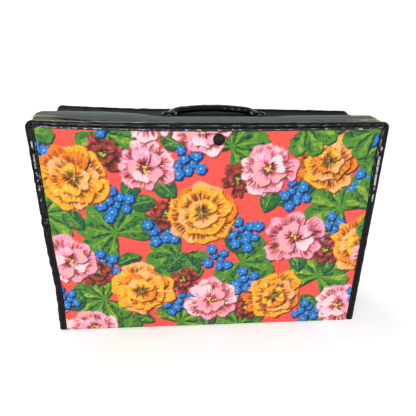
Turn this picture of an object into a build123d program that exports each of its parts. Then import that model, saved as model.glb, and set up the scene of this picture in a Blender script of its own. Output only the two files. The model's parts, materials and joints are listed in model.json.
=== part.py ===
"""Soft-sided travel case in printed cloth with black patent-vinyl trim.

The front is a shallow lid that swings down on a cloth fold along its bottom edge once the zip is run round
the top and both sides. The lid carries a full-width slip pocket held by a press stud. A short handle lies
back on the top gusset.

Millimetres. +X is the viewer's right, +Y runs from the front to the back and +Z is up. The origin is on the
surface that the case stands on, in the middle of its base.
"""

import os
from math import atan2, cos, degrees, hypot, pi, sin, tan

from build123d import *

# Overall form
case_width = 480.0
case_height = 330.0
case_depth = 140.0
corner_radius = 14.0

# Sheet materials
vinyl_thickness = 1.2
cloth_thickness = 1.0
board_thickness = 2.5
lining_thickness = 0.6
tape_thickness = 0.8

# Clearances and cutting
seat_gap = 0.1
slide_gap = 0.3
overrun = 2.0

# Bindings: a raised bead round each rim with a flat face strip
bead_height = 2.5
bead_depth = 7.0
bead_round = 2.3
side_strip_width = 11.0
lid_top_strip_width = 4.2
back_top_strip_width = 10.0
base_binding_height = 9.0
base_binding_round = 1.2

# Lid, hinge fold and pocket
fold_radius = 4.0
pocket_gap = 2.4
pocket_tuck = 5.0
pocket_drop = 0.3
pocket_strip_height = 4.4
pocket_strip_thickness = 0.8
lid_rim_depth = 12.0
back_fold_radius = 6.0

# Zip: two tapes with a row of teeth each
zip_setback = 19.0
tooth_pitch = 8.0
tooth_thickness = 1.6
tooth_height = 2.4
tooth_reach = 0.5
chain_width = 5.2
case_tape_width = 24.0
gusset_setback = 36.0
stop_length = 3.0

# Zip slider and its pull, parked low on the right side
slider_rest_height = 42.0
slider_length = 14.0
slider_mouth_width = 11.5
slider_tail_width = 9.5
slider_plate_thickness = 1.2
slider_corner_radius = 2.0
slider_flange_width = 1.0
slider_neck_width = 2.2
slider_neck_length = 4.0
bail_span = 10.0
bail_bar_thickness = 1.2
bail_bar_width = 2.6
bail_gap = 2.0
pull_length = 25.0
pull_width = 8.0
pull_thickness = 1.4
pull_bar_radius = 0.7
pull_window_length = 6.4
pull_tip_radius = 3.0
pull_hole_radius = 1.6

# Press stud
snap_offset = 8.0
snap_drop = 23.5
snap_cap_radius = 8.0
snap_cap_rise = 2.2
snap_rim = 0.6
snap_dome_shares = ((0.0, 1.0), (0.72, 0.7), (1.0, 0.0))
snap_post_radius = 2.0
snap_wall = 0.5
snap_socket_radius = 5.0
snap_socket_depth = 1.8
snap_head_radius = 2.5
snap_head_length = 1.2
snap_rivet_radius = 1.4
snap_flange_radius = 4.4

# Handle, its rings, and the tabs that hold them
handle_setback = 64.0
handle_offset = 6.5
handle_span = 131.0
handle_rise = 37.5
handle_shoulder_rise = 29.0
handle_lean = 8.0
handle_splay = 7.0
handle_bend_share = 0.92
handle_crown_share = 0.6
grip_width = 12.5
grip_thickness = 10.0
grip_bevel = 3.0
grip_end_thickness = 7.0
grip_end_rise = 17.0
grip_full_rise = 27.0
core_width = 7.0
core_thickness = 3.0
core_end_rise = 18.0
ring_bar_width = 3.0
ring_bar_thickness = 2.4
ring_width = 19.0
ring_rise = 13.0
ring_corner_radius = 3.4
ring_running_gap = 0.08
ring_floor_gap = 0.2
eye_wall = 1.7
tab_length = 15.0
tab_ply = 1.4
tab_bevel = 3.0
rivet_radius = 1.6
rivet_head_radius = 3.8
rivet_head_rise = 1.5
rivet_crown_share = 0.6
rivet_inset = 5.0
rivet_foot_rise = 0.7
rivet_foot_radius = 3.0
plate_thickness = 1.2
plate_margin = 18.0
plate_width = 30.0
plate_bevel = 5.0

# Gusset seams
gusset_seam_drop = 6.0

# Levels worked out from the sizes above
half_width = case_width / 2
front = -case_depth / 2
back = case_depth / 2
rim_inset = bead_height
rim_inner_inset = rim_inset + vinyl_thickness
panel_inset = rim_inner_inset + seat_gap

pocket_front = front + vinyl_thickness
pocket_rear = pocket_front + cloth_thickness
lid_cover_front = pocket_rear + pocket_gap
lid_board_front = lid_cover_front + cloth_thickness
lid_lining_front = lid_board_front + board_thickness
lid_lining_rear = lid_lining_front + lining_thickness
hinge_y = pocket_front + fold_radius
hinge_z = fold_radius

zip_y = front + zip_setback
zip_tape_inset = rim_inset - tape_thickness
tooth_inset = zip_tape_inset + tape_thickness / 2
teeth_top_inset = tooth_inset - tooth_height / 2
teeth_low_inset = tooth_inset + tooth_height / 2
lid_tape_edge = zip_y - chain_width / 2
case_tape_edge = zip_y + chain_width / 2
gusset_front = front + gusset_setback
side_top = case_height - corner_radius
teeth_bottom = slider_rest_height + slider_length / 2 + tooth_pitch / 2

cover_rear = back - vinyl_thickness
back_board_rear = cover_rear - cloth_thickness
back_board_front = back_board_rear - board_thickness
back_lining_front = back_board_front - lining_thickness
bottom_board_top = cloth_thickness + board_thickness
bottom_lining_top = bottom_board_top + lining_thickness

handle_y = front + handle_setback
gusset_top = case_height - rim_inset
gusset_under = gusset_top - vinyl_thickness
plate_under = gusset_under - plate_thickness
ring_bar_radius = hypot(ring_bar_width, ring_bar_thickness) / 2
handle_z = gusset_top + ring_floor_gap + ring_bar_radius
rivet_y = handle_y - tab_length + rivet_inset
lining_inset = case_height - plate_under + rivet_foot_rise + seat_gap
tab_thickness = 2 * tab_ply
tab_width = ring_width - ring_bar_width - 2 * slide_gap


def span_box(x0, x1, y0, y1, z0, z1):
    """Box between two corners."""
    middle = Pos((x0 + x1) / 2, (y0 + y1) / 2, (z0 + z1) / 2)
    return middle * Box(x1 - x0, y1 - y0, z1 - z0)


def rim_face(inset, bottom):
    """The case's front outline, inset from the outer rim: square at the bottom, round at the top corners."""
    half = half_width - inset
    top = case_height - inset
    face = Pos(0, (top + bottom) / 2) * Rectangle(2 * half, top - bottom)
    return fillet(face.vertices().group_by(Axis.Y)[-1], corner_radius - inset)


def along_y(face, y0, y1):
    """A face drawn in X and Z, extruded from y0 back to y1."""
    return extrude(Plane.XZ.offset(-y1) * face, amount=y1 - y0)


def rim_prism(inset, y0, y1, bottom=0.0):
    return along_y(rim_face(inset, bottom), y0, y1)


def rim_shell(inset, thickness, y0, y1, bottom=0.0):
    """A sheet bent over the top corners: one wall along the top and one down each side, open below."""
    inner = rim_prism(inset + thickness, y0 - overrun, y1 + overrun, bottom - overrun)
    return rim_prism(inset, y0, y1, bottom) - inner


def strip_window(side_width, top_width, y0, y1, bottom):
    """The opening inside a binding's face strip."""
    half = half_width - side_width
    top = case_height - top_width
    low = bottom - overrun
    face = Pos(0, (top + low) / 2) * Rectangle(2 * half, top - low)
    return along_y(face, y0 - overrun, y1 + overrun)


def end_edges(slab, y, bottom):
    """Edges of a rim-shaped slab in the plane at y, but for the bottom one."""
    in_plane = [e for e in slab.edges() if abs(e.center().Y - y) < bead_round / 2]
    return [e for e in in_plane if e.center().Z > bottom + overrun]


def bead(face, rear, bottom):
    """A rim-shaped slab to cut a binding from: round along its face, bevelled along its rear."""
    slab = rim_prism(0, min(face, rear), max(face, rear), bottom)
    slab = chamfer(end_edges(slab, rear, bottom), bead_round)
    return fillet(end_edges(slab, face, bottom), bead_round)


def rim_point(distance, inset, low):
    """Location at a distance along the inverted U of the rim, from its low left end, with X along the U."""
    radius = corner_radius - inset
    side = side_top - low
    bend = radius * pi / 2
    flat = case_width - 2 * corner_radius
    half = half_width - inset
    if distance <= side:
        x, z, angle = -half, low + distance, 90.0
    elif distance <= side + bend:
        turn = (distance - side) / radius
        x = -half + radius - radius * cos(turn)
        z = side_top + radius * sin(turn)
        angle = 90.0 - degrees(turn)
    elif distance <= side + bend + flat:
        x, z, angle = -flat / 2 + distance - side - bend, case_height - inset, 0.0
    elif distance <= side + 2 * bend + flat:
        turn = (distance - side - bend - flat) / radius
        x = half - radius + radius * sin(turn)
        z = side_top + radius * cos(turn)
        angle = -degrees(turn)
    else:
        x, z, angle = half, side_top - (distance - side - 2 * bend - flat), -90.0
    return Location((x, 0, z), (0, -angle, 0))


def rim_length(inset, low):
    return 2 * (side_top - low) + pi * (corner_radius - inset) + case_width - 2 * corner_radius


def lid_cover():
    stud_hole = Pos(snap_offset, 0, case_height - snap_drop) * along_y(
        Circle(snap_rivet_radius + seat_gap), lid_cover_front - overrun, lid_board_front + overrun
    )
    return rim_prism(panel_inset, lid_cover_front, lid_board_front, hinge_z) - stud_hole


def lid_board():
    relief = Pos(snap_offset, 0, case_height - snap_drop) * along_y(
        Circle(snap_flange_radius + slide_gap), lid_board_front - overrun, lid_lining_front + overrun
    )
    return rim_prism(panel_inset, lid_board_front, lid_lining_front, hinge_z) - relief


def lid_lining():
    return rim_prism(panel_inset, lid_lining_front, lid_lining_rear, hinge_z)


def lid_rim():
    return rim_shell(rim_inset, vinyl_thickness, lid_cover_front, front + lid_rim_depth, hinge_z)


def lid_binding():
    solid = bead(front, front + bead_depth, hinge_z)
    solid -= strip_window(side_strip_width, lid_top_strip_width, front, front + bead_depth, hinge_z)
    solid -= rim_prism(rim_inset, lid_cover_front, front + bead_depth + overrun, hinge_z - overrun)
    half = half_width - side_strip_width + pocket_tuck + seat_gap
    top = case_height - lid_top_strip_width - pocket_drop + seat_gap
    return solid - span_box(-half, half, pocket_front, lid_cover_front, hinge_z - overrun, top)


def pocket_top():
    return case_height - lid_top_strip_width - pocket_drop - pocket_strip_thickness


def pocket_panel():
    half = half_width - side_strip_width + pocket_tuck
    sheet = span_box(-half, half, pocket_front, pocket_rear, hinge_z, pocket_top())
    post_hole = Pos(snap_offset, 0, case_height - snap_drop) * along_y(
        Circle(snap_post_radius + seat_gap), pocket_front - overrun, pocket_rear + overrun
    )
    return sheet - post_hole


def pocket_binding():
    """Strip folded over the pocket's mouth."""
    half = half_width - side_strip_width - slide_gap
    top = pocket_top() + pocket_strip_thickness
    low = top - pocket_strip_height
    wrap = span_box(-half, half, front, pocket_rear + pocket_strip_thickness, low, top)
    nose = wrap.edges().filter_by(Axis.X).group_by(Axis.Z)[-1]
    wrap = fillet(nose, pocket_strip_thickness / 2)
    half += overrun
    return wrap - span_box(-half, half, pocket_front, pocket_rear, low - overrun, pocket_top())


def turned_on_y(outline):
    """Half section in radius and Y, revolved about the press stud's axis."""
    face = make_face(Polyline(*outline, close=True))
    spun = revolve(face, axis=Axis.Y)
    return Pos(snap_offset, 0, case_height - snap_drop) * spun


def snap_cap():
    """Domed cap outside the pocket with the post that clinches into the socket."""
    edge = pocket_front - snap_rim
    dome = snap_cap_rise - snap_rim
    crown = [(snap_cap_radius * across, edge - dome * up) for across, up in snap_dome_shares]
    foot = pocket_rear + snap_wall
    post = [(snap_post_radius, pocket_front), (snap_post_radius, foot), (0, foot)]
    return turned_on_y(crown + [(snap_cap_radius, pocket_front)] + post)


def snap_socket():
    """Spring socket behind the pocket cloth."""
    rear = pocket_rear + snap_socket_depth
    floor = pocket_rear + snap_wall
    mouth = snap_head_radius + slide_gap
    return turned_on_y(
        [
            (snap_post_radius + seat_gap, pocket_rear),
            (snap_socket_radius, pocket_rear),
            (snap_socket_radius, rear),
            (mouth, rear),
            (mouth, floor),
            (snap_post_radius + seat_gap, floor),
        ]
    )


def snap_stud():
    """Headed stud on the lid cloth, standing in the socket."""
    base = lid_cover_front - snap_wall
    tip = base - snap_head_length
    bore = snap_rivet_radius + seat_gap
    neck = snap_head_radius - snap_wall
    return turned_on_y(
        [
            (bore, lid_cover_front),
            (snap_socket_radius, lid_cover_front),
            (snap_socket_radius, base),
            (neck, base),
            (snap_head_radius, (base + tip) / 2),
            (neck, tip),
            (bore, tip),
        ]
    )


def snap_eyelet():
    """Rivet behind the lid cloth that holds the stud."""
    tip = lid_cover_front - snap_wall - snap_head_length
    return turned_on_y(
        [
            (0, lid_board_front + snap_wall),
            (snap_flange_radius, lid_board_front + snap_wall),
            (snap_flange_radius, lid_board_front),
            (snap_rivet_radius, lid_board_front),
            (snap_rivet_radius, tip),
            (0, tip),
        ]
    )


def zip_tape_lid():
    return rim_shell(zip_tape_inset, tape_thickness, front + bead_depth, lid_tape_edge, hinge_z)


def zip_tape_case():
    rear = case_tape_edge + case_tape_width
    return rim_shell(zip_tape_inset, tape_thickness, case_tape_edge, rear, hinge_z)


def teeth_row(start, y0, y1):
    """One row of teeth along a tape's edge, as separate solids."""
    tooth = Pos(0, (y0 + y1) / 2, 0) * Box(tooth_thickness, y1 - y0, tooth_height)
    count = int((rim_length(tooth_inset, teeth_bottom) - start) / tooth_pitch) + 1
    places = [rim_point(start + tooth_pitch * i, tooth_inset, teeth_bottom) for i in range(count)]
    return Compound(children=[place * tooth for place in places])


def zip_teeth_lid():
    return teeth_row(tooth_pitch / 4, lid_tape_edge, zip_y + tooth_reach)


def zip_teeth_case():
    return teeth_row(tooth_pitch * 3 / 4, zip_y - tooth_reach, case_tape_edge)


def zip_stops(y0, y1):
    """Clamped stop just below the low end of a row of teeth, on the left side."""
    top = teeth_bottom - tooth_pitch / 4
    x0 = half_width - teeth_low_inset
    x1 = half_width - teeth_top_inset
    return span_box(-x1, -x0, y0, y1, top - stop_length, top)


def zip_stop_lid():
    return zip_stops(lid_tape_edge, zip_y - seat_gap)


def zip_stop_case():
    return zip_stops(zip_y + seat_gap, case_tape_edge)


def slider_outline():
    """Shield shape in Y and Z: wide at the mouth, which faces down, and narrower at the tail."""
    low = slider_rest_height - slider_length / 2
    high = slider_rest_height + slider_length / 2
    mouth = slider_mouth_width / 2
    tail = slider_tail_width / 2
    corners = [(-mouth, low), (mouth, low), (mouth, slider_rest_height), (tail, high), (-tail, high)]
    corners.append((-mouth, slider_rest_height))
    face = make_face(Polyline(*corners, close=True))
    return fillet(face.vertices(), slider_corner_radius)


def across_x(face, x0, x1):
    """A face drawn about the zip's line in Y and Z, extruded from x0 out to x1."""
    return extrude(Plane((x0, zip_y, 0), x_dir=(0, 1, 0), z_dir=(1, 0, 0)) * face, amount=x1 - x0)


slider_outer_x0 = half_width - teeth_top_inset + slide_gap
slider_outer_x1 = slider_outer_x0 + slider_plate_thickness
slider_inner_x1 = half_width - teeth_low_inset - slide_gap
slider_inner_x0 = slider_inner_x1 - slider_plate_thickness
pull_axis_x = slider_outer_x1 + bail_gap / 2
pull_axis_z = slider_rest_height


def slider_flanges():
    """Edges of the two plates, turned in towards the tape on both sides."""
    tape_inner = half_width - zip_tape_inset - tape_thickness - slide_gap
    tape_outer = half_width - zip_tape_inset + slide_gap
    outline = slider_outline()
    lip = outline - offset(outline, amount=-slider_flange_width)
    tall = Rectangle(2 * slider_mouth_width, slider_length - 4 * slider_flange_width)
    lip = lip & (Pos(0, slider_rest_height) * tall)
    return across_x(lip, slider_inner_x1, tape_inner) + across_x(lip, tape_outer, slider_outer_x0)


def zip_slider():
    """Two plates joined by a neck, with flanges and an arched bail for the pull."""
    outline = slider_outline()
    solid = across_x(outline, slider_inner_x0, slider_inner_x1)
    solid += across_x(outline, slider_outer_x0, slider_outer_x1)
    solid += slider_flanges()
    low = slider_rest_height - slider_length / 2
    neck = Pos(0, low + slider_neck_length / 2) * Rectangle(slider_neck_width, slider_neck_length)
    solid += across_x(neck, slider_inner_x1, slider_outer_x0)
    bail = Pos(0, slider_rest_height) * Rectangle(bail_bar_width, bail_span)
    arch = across_x(bail, slider_outer_x1, slider_outer_x1 + bail_gap + bail_bar_thickness)
    arch = fillet(arch.edges().filter_by(Axis.Y).group_by(Axis.X)[-1], bail_bar_thickness)
    gap = Pos(0, slider_rest_height) * Rectangle(2 * bail_bar_width, bail_span - 2 * bail_bar_thickness)
    return solid + (arch - across_x(gap, slider_outer_x1, slider_outer_x1 + bail_gap))


def zip_pull():
    """Flat tab that hangs from the bail by a cross bar at its top."""
    foot = pull_axis_z - pull_length
    tab = Pos(0, (foot + pull_axis_z) / 2) * Rectangle(pull_width, pull_length)
    tab = fillet(tab.vertices().group_by(Axis.Y)[0], pull_tip_radius)
    window = Pos(0, pull_axis_z - pull_window_length / 2) * Rectangle(
        bail_bar_width + 2 * slide_gap, pull_window_length
    )
    eye = Pos(0, foot + pull_tip_radius + pull_hole_radius / 2) * Circle(pull_hole_radius)
    solid = across_x(tab - window - eye, pull_axis_x - pull_thickness / 2, pull_axis_x + pull_thickness / 2)
    bar = Rot(90, 0, 0) * Cylinder(pull_bar_radius, pull_width)
    return solid + Pos(pull_axis_x, zip_y, pull_axis_z) * bar


def base_cover():
    """Printed cloth of the bottom and the back in one piece, turned up at the back edge."""
    half = half_width - panel_inset
    solid = span_box(-half, half, hinge_y, cover_rear, 0, case_height - panel_inset)
    solid &= rim_prism(panel_inset, hinge_y, cover_rear)
    heel = solid.edges().filter_by(Axis.X).sort_by(lambda e: e.center().Y - e.center().Z)[-1]
    solid = fillet(heel, back_fold_radius)
    half += overrun
    top = case_height + overrun
    inside = span_box(-half, half, hinge_y - overrun, back_board_rear, cloth_thickness, top)
    heel = inside.edges().filter_by(Axis.X).sort_by(lambda e: e.center().Y - e.center().Z)[-1]
    return solid - fillet(heel, back_fold_radius - cloth_thickness)


def hinge_cloth():
    """The printed cloth where it turns from the bottom up to the lid, a quarter roll about the hinge line."""
    half = half_width - panel_inset
    ring = Circle(fold_radius) - Circle(fold_radius - cloth_thickness)
    quarter = ring & (Pos(-fold_radius / 2, -fold_radius / 2) * Rectangle(fold_radius, fold_radius))
    plane = Plane((-half, hinge_y, hinge_z), x_dir=(0, 1, 0), z_dir=(1, 0, 0))
    return extrude(plane * quarter, amount=2 * half)


def bottom_board():
    half = half_width - panel_inset
    return span_box(-half, half, hinge_y, cover_rear - back_fold_radius, cloth_thickness, bottom_board_top)


def back_board():
    return rim_prism(panel_inset, back_board_front, back_board_rear, back_fold_radius)


def bottom_lining():
    half = half_width - panel_inset
    start = hinge_y + 2 * fold_radius
    return span_box(-half, half, start, back_lining_front, bottom_board_top, bottom_lining_top)


def back_lining():
    return rim_prism(panel_inset, back_lining_front, back_board_front, bottom_board_top)


def gusset_lining():
    rear = back_lining_front - seat_gap
    return rim_shell(lining_inset, lining_thickness, gusset_front, rear, bottom_lining_top)


def rivet_places():
    """Rivet places on the top gusset: one for each ring tab."""
    return [(handle_offset + side * handle_span / 2, rivet_y) for side in (-1, 1)]


def rivet_holes(low, high):
    hole = Pos(0, 0, (low + high) / 2) * Cylinder(rivet_radius + seat_gap, high - low)
    return [Pos(x, y, 0) * hole for x, y in rivet_places()]


def top_gusset():
    seam = side_top - gusset_seam_drop
    solid = rim_shell(rim_inset, vinyl_thickness, gusset_front, cover_rear, seam)
    return solid - rivet_holes(plate_under, gusset_top + overrun)


def side_gusset(side):
    outer = half_width - rim_inset
    seam = side_top - gusset_seam_drop
    wall = span_box(outer - vinyl_thickness, outer, gusset_front, cover_rear, 0, seam)
    return wall if side > 0 else mirror(wall, about=Plane.YZ)


def back_binding():
    solid = bead(back, back - bead_depth, 0)
    solid -= strip_window(side_strip_width, back_top_strip_width, back - bead_depth, back, 0)
    return solid - rim_prism(rim_inset, back - bead_depth - overrun, cover_rear, -overrun)


def base_binding(side):
    """Strip over the seam between a side gusset and the bottom."""
    outer = half_width - rim_inset
    start = case_tape_edge + case_tape_width + seat_gap
    strip = span_box(outer, half_width, start, back - bead_depth, 0, base_binding_height)
    edges = strip.edges().filter_by(Axis.Y).group_by(Axis.X)[-1]
    strip = fillet(edges, base_binding_round)
    return strip if side > 0 else mirror(strip, about=Plane.YZ)


def handle_plate():
    """Steel strip under the top gusset that spreads the pull of the handle."""
    strip = Rectangle(handle_span + 2 * plate_margin, plate_width)
    strip = chamfer(strip.vertices(), plate_bevel)
    solid = Pos(handle_offset, rivet_y, plate_under) * extrude(strip, amount=plate_thickness)
    return solid - rivet_holes(plate_under - overrun, gusset_under + overrun)


def ring_tab(side):
    """Vinyl tab folded round a ring's bar, both plies riveted down in front of it."""
    sleeve = ring_bar_radius + ring_running_gap
    low = gusset_top - handle_z
    flap = Rectangle(tab_length, tab_thickness)
    profile = Circle(sleeve + tab_ply) + Pos(-tab_length / 2, low + tab_thickness / 2) * flap
    profile &= Pos(0, low + tab_length) * Rectangle(4 * tab_length, 2 * tab_length)
    profile -= Circle(sleeve)
    x0 = handle_offset + side * handle_span / 2 - tab_width / 2
    plane = Plane((x0, handle_y, handle_z), x_dir=(0, 1, 0), z_dir=(1, 0, 0))
    solid = extrude(plane * profile, amount=tab_width)
    nose = solid.edges().filter_by(Axis.Z).group_by(Axis.Y)[0]
    return chamfer(nose, tab_bevel) - rivet_holes(gusset_top - overrun, handle_z + tab_length)


def tab_rivets():
    """Low-headed rivets through the tabs, the gusset and the plate."""
    seat = gusset_top + tab_thickness
    foot = plate_under - rivet_foot_rise
    crown = seat + rivet_head_rise
    outline = [
        (0, foot),
        (rivet_foot_radius, foot),
        (rivet_foot_radius, plate_under),
        (rivet_radius, plate_under),
        (rivet_radius, seat),
        (rivet_head_radius, seat),
        (rivet_crown_share * rivet_head_radius, crown),
        (0, crown),
    ]
    rivet = revolve(Plane.XZ * make_face(Polyline(*outline, close=True)), axis=Axis.Z)
    return Compound(children=[Pos(x, y, 0) * rivet for x, y in rivet_places()])


# The handle is drawn in its own plane, X across and Y along its rise, and then leaned back about the rings.
handle_place = Location((handle_offset, handle_y, handle_z), (handle_lean, 0, 0))


def handle_path(end_rise):
    """The arch's middle line: legs that splay out towards the rings from end_rise, and a bowed top."""
    foot = handle_span / 2
    slope = handle_splay / (handle_shoulder_rise - ring_rise)
    start = foot - slope * (end_rise - ring_rise)
    shoulder = foot - handle_splay
    pitch = atan2(handle_rise - handle_shoulder_rise, shoulder)
    leg = (handle_shoulder_rise - core_end_rise) * hypot(1, slope)
    bend_tangent = handle_bend_share * leg
    bend = bend_tangent / tan((atan2(1, slope) - pitch) / 2)
    crown_tangent = handle_crown_share * (hypot(shoulder, handle_rise - handle_shoulder_rise) - bend_tangent)
    crown = crown_tangent / tan(pitch)
    side = [(start, end_rise), (shoulder, handle_shoulder_rise)]
    points = [(-x, y) for x, y in side] + [(0, handle_rise)] + side[::-1]
    return FilletPolyline(*points, radius=[bend, crown, bend])


def handle_sweep(face, end_rise):
    path = handle_path(end_rise)
    start = Plane(path @ 0, x_dir=(0, 0, 1), z_dir=path % 0)
    return sweep(start * face, path=path)


def handle_grip():
    """Padded vinyl grip: full in the middle, thinned at the legs, with an eye round each ring's upper bar."""
    section = Rectangle(grip_thickness, grip_width)
    solid = handle_sweep(chamfer(section.vertices(), grip_bevel), ring_rise)
    full, thin = grip_thickness / 2, grip_end_thickness / 2
    crown = handle_rise + grip_width
    edge = [(0, thin), (grip_end_rise, thin), (grip_full_rise, full), (crown, full)]
    side = Polyline(*edge, *[(rise, -half) for rise, half in edge[::-1]], close=True)
    reach = handle_span + 2 * grip_width
    plane = Plane((-reach / 2, 0, 0), x_dir=(0, 1, 0), z_dir=(1, 0, 0))
    solid &= extrude(plane * make_face(side), amount=reach)
    eye = ring_bar_radius + seat_gap
    for foot in (-handle_span / 2, handle_span / 2):
        place = Pos(foot, ring_rise, 0) * Rot(0, 90, 0)
        solid += place * Cylinder(eye + eye_wall, grip_width)
        solid -= place * Cylinder(eye, ring_width)
    pocket = Rectangle(core_thickness + 2 * seat_gap, core_width + 2 * seat_gap)
    solid -= handle_sweep(pocket, core_end_rise)
    return handle_place * solid


def handle_core():
    """Flat steel stiffener inside the grip."""
    return handle_place * handle_sweep(Rectangle(core_thickness, core_width), core_end_rise)


def handle_ring(side):
    """Flat metal loop: its lower bar turns in the tab and its upper bar holds the handle's eye."""
    outer = RectangleRounded(ring_width + ring_bar_width, ring_rise + ring_bar_width, ring_corner_radius)
    inner = Rectangle(ring_width - ring_bar_width, ring_rise - ring_bar_width)
    loop = extrude(outer - inner, amount=ring_bar_thickness / 2, both=True)
    return handle_place * Pos(side * handle_span / 2, ring_rise / 2, 0) * loop


nodes = {
    "base_cover": base_cover(),
    "hinge_cloth": hinge_cloth(),
    "bottom_board": bottom_board(),
    "back_board": back_board(),
    "bottom_lining": bottom_lining(),
    "back_lining": back_lining(),
    "gusset_lining": gusset_lining(),
    "top_gusset": top_gusset(),
    "left_gusset": side_gusset(-1),
    "right_gusset": side_gusset(1),
    "back_binding": back_binding(),
    "base_binding_left": base_binding(-1),
    "base_binding_right": base_binding(1),
    "zip_tape_case": zip_tape_case(),
    "zip_teeth_case": zip_teeth_case(),
    "zip_stop_case": zip_stop_case(),
    "handle_plate": handle_plate(),
    "ring_tab_left": ring_tab(-1),
    "ring_tab_right": ring_tab(1),
    "tab_rivets": tab_rivets(),
    "lid_cover": lid_cover(),
    "lid_board": lid_board(),
    "lid_lining": lid_lining(),
    "lid_rim": lid_rim(),
    "lid_binding": lid_binding(),
    "pocket_panel": pocket_panel(),
    "pocket_binding": pocket_binding(),
    "snap_cap": snap_cap(),
    "snap_socket": snap_socket(),
    "snap_stud": snap_stud(),
    "snap_eyelet": snap_eyelet(),
    "zip_tape_lid": zip_tape_lid(),
    "zip_teeth_lid": zip_teeth_lid(),
    "zip_stop_lid": zip_stop_lid(),
    "zip_slider": zip_slider(),
    "zip_pull": zip_pull(),
    "handle_grip": handle_grip(),
    "handle_core": handle_core(),
    "handle_ring_left": handle_ring(-1),
    "handle_ring_right": handle_ring(1),
}

os.makedirs("parts", exist_ok=True)
for name, solid in nodes.items():
    export_step(solid, f"parts/{name}.step")

print("lid hinge", hinge_y, hinge_z)
print("handle pivot", handle_y, handle_z)
print("pull pivot", pull_axis_x, zip_y, pull_axis_z)
print("slider travel", side_top - slider_rest_height - slider_length / 2)
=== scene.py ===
"""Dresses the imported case: floral cloth, black patent trim, zip, handle and lining."""

import json
import math

import bmesh
import bpy
import numpy as np
from mathutils import Matrix, Vector


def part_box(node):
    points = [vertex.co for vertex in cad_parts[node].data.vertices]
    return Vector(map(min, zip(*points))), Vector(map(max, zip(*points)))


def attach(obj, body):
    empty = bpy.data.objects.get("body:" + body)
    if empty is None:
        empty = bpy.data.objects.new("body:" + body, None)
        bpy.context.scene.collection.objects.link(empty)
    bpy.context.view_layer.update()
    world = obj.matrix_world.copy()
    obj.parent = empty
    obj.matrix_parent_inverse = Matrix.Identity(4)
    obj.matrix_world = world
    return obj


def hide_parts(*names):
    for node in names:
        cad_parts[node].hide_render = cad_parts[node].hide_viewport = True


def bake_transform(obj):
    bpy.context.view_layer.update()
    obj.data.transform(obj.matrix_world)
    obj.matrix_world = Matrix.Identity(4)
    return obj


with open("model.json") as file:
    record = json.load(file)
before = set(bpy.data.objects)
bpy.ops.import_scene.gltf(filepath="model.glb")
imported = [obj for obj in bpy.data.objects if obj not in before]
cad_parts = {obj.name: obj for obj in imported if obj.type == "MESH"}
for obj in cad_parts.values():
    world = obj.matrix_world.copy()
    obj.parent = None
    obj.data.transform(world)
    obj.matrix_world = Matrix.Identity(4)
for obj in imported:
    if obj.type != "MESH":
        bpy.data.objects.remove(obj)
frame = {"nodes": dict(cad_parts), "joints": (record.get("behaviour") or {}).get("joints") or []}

STARTUP_OBJECTS = ("Cube", "Light", "Camera")
for startup_name in STARTUP_OBJECTS:
    if startup_name in bpy.data.objects:
        bpy.data.objects.remove(bpy.data.objects[startup_name], do_unlink=True)
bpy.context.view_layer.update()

# Lengths below are in millimetres; meshes are written in metres
MM = 0.001


def box_mm(node):
    """Lowest and highest corner of a CAD node, in millimetres."""
    low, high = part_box(node)
    return np.array(low) / MM, np.array(high) / MM


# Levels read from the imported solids
RIM_LOW, RIM_HIGH = box_mm("lid_binding")
HALF = RIM_HIGH[0]
TOP = RIM_HIGH[2]
FRONT = RIM_LOW[1]
BACK = box_mm("back_binding")[1][1]
BEAD_DEPTH = RIM_HIGH[1] - FRONT
HINGE_LEVEL = RIM_LOW[2]
POCKET_LOW, POCKET_HIGH = box_mm("pocket_panel")
MOUTH_LOW, MOUTH_HIGH = box_mm("pocket_binding")
BAND_LOW, BAND_HIGH = box_mm("lid_rim")
GUSSET_LOW, GUSSET_HIGH = box_mm("top_gusset")
TAPE_LID_LOW, TAPE_LID_HIGH = box_mm("zip_tape_lid")
TAPE_CASE_LOW, TAPE_CASE_HIGH = box_mm("zip_tape_case")
TEETH_LID_LOW, TEETH_LID_HIGH = box_mm("zip_teeth_lid")
TEETH_CASE_LOW, TEETH_CASE_HIGH = box_mm("zip_teeth_case")
COVER_LOW, COVER_HIGH = box_mm("base_cover")
FOLD_LOW, FOLD_HIGH = box_mm("hinge_cloth")
SNAP_LOW, SNAP_HIGH = box_mm("snap_cap")
SNAP_X = (SNAP_LOW[0] + SNAP_HIGH[0]) / 2
SNAP_Z = (SNAP_LOW[2] + SNAP_HIGH[2]) / 2
PLATE_LOW, PLATE_HIGH = box_mm("handle_plate")
PLATE_X = (PLATE_LOW[0] + PLATE_HIGH[0]) / 2
PLATE_REACH = (PLATE_HIGH[0] - PLATE_LOW[0]) / 2
ZIP_DEPTH = (TEETH_LID_HIGH[1] + TEETH_CASE_LOW[1]) / 2
JOINTS = {joint["name"]: joint for joint in frame["joints"]}
HANDLE_PIVOT = np.array(JOINTS["handle_hinge"]["pos_m"]) / MM

# Rim outline and trims
CORNER_RADIUS = 9.5
RIM_STEP = 2.0
CORNER_STEPS = 13
BEAD_ROUND = 2.3
BEAD_HEIGHT = HALF - BAND_HIGH[0]
VINYL = 1.2
CLOTH = 1.0
SIDE_STRIP = 11.0
STRIP_SLACK = 3.0
SLACK_LEVEL = 268.0
SLACK_REACH = 36.0
POCKET_DROP = 0.3
LID_TOP_STRIP = TOP - MOUTH_HIGH[2] - POCKET_DROP
BACK_TOP_STRIP = 10.0
STRIP_RISE = 0.7
STITCH_INSET = 1.9
HEEL_RADIUS = 6.0
END_TUCK = 3.0
TAPE_FOLD = 0.8
TAPE_FOLD_AT = -37.0
HEM_WIDTH = 3.0
HEM_RISE = 0.9
STRIP_LAP = 0.05
TRIM_LIP = 4.9
FINE_PUCKER = 0.19
BROAD_PUCKER = 0.42
MOUTH_CELL = 1.6
MOUTH_PUFF = 0.45
MOUTH_LAP = 0.75
FACING_CELL = 6.0
FACING_DROP = 6.0
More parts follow.
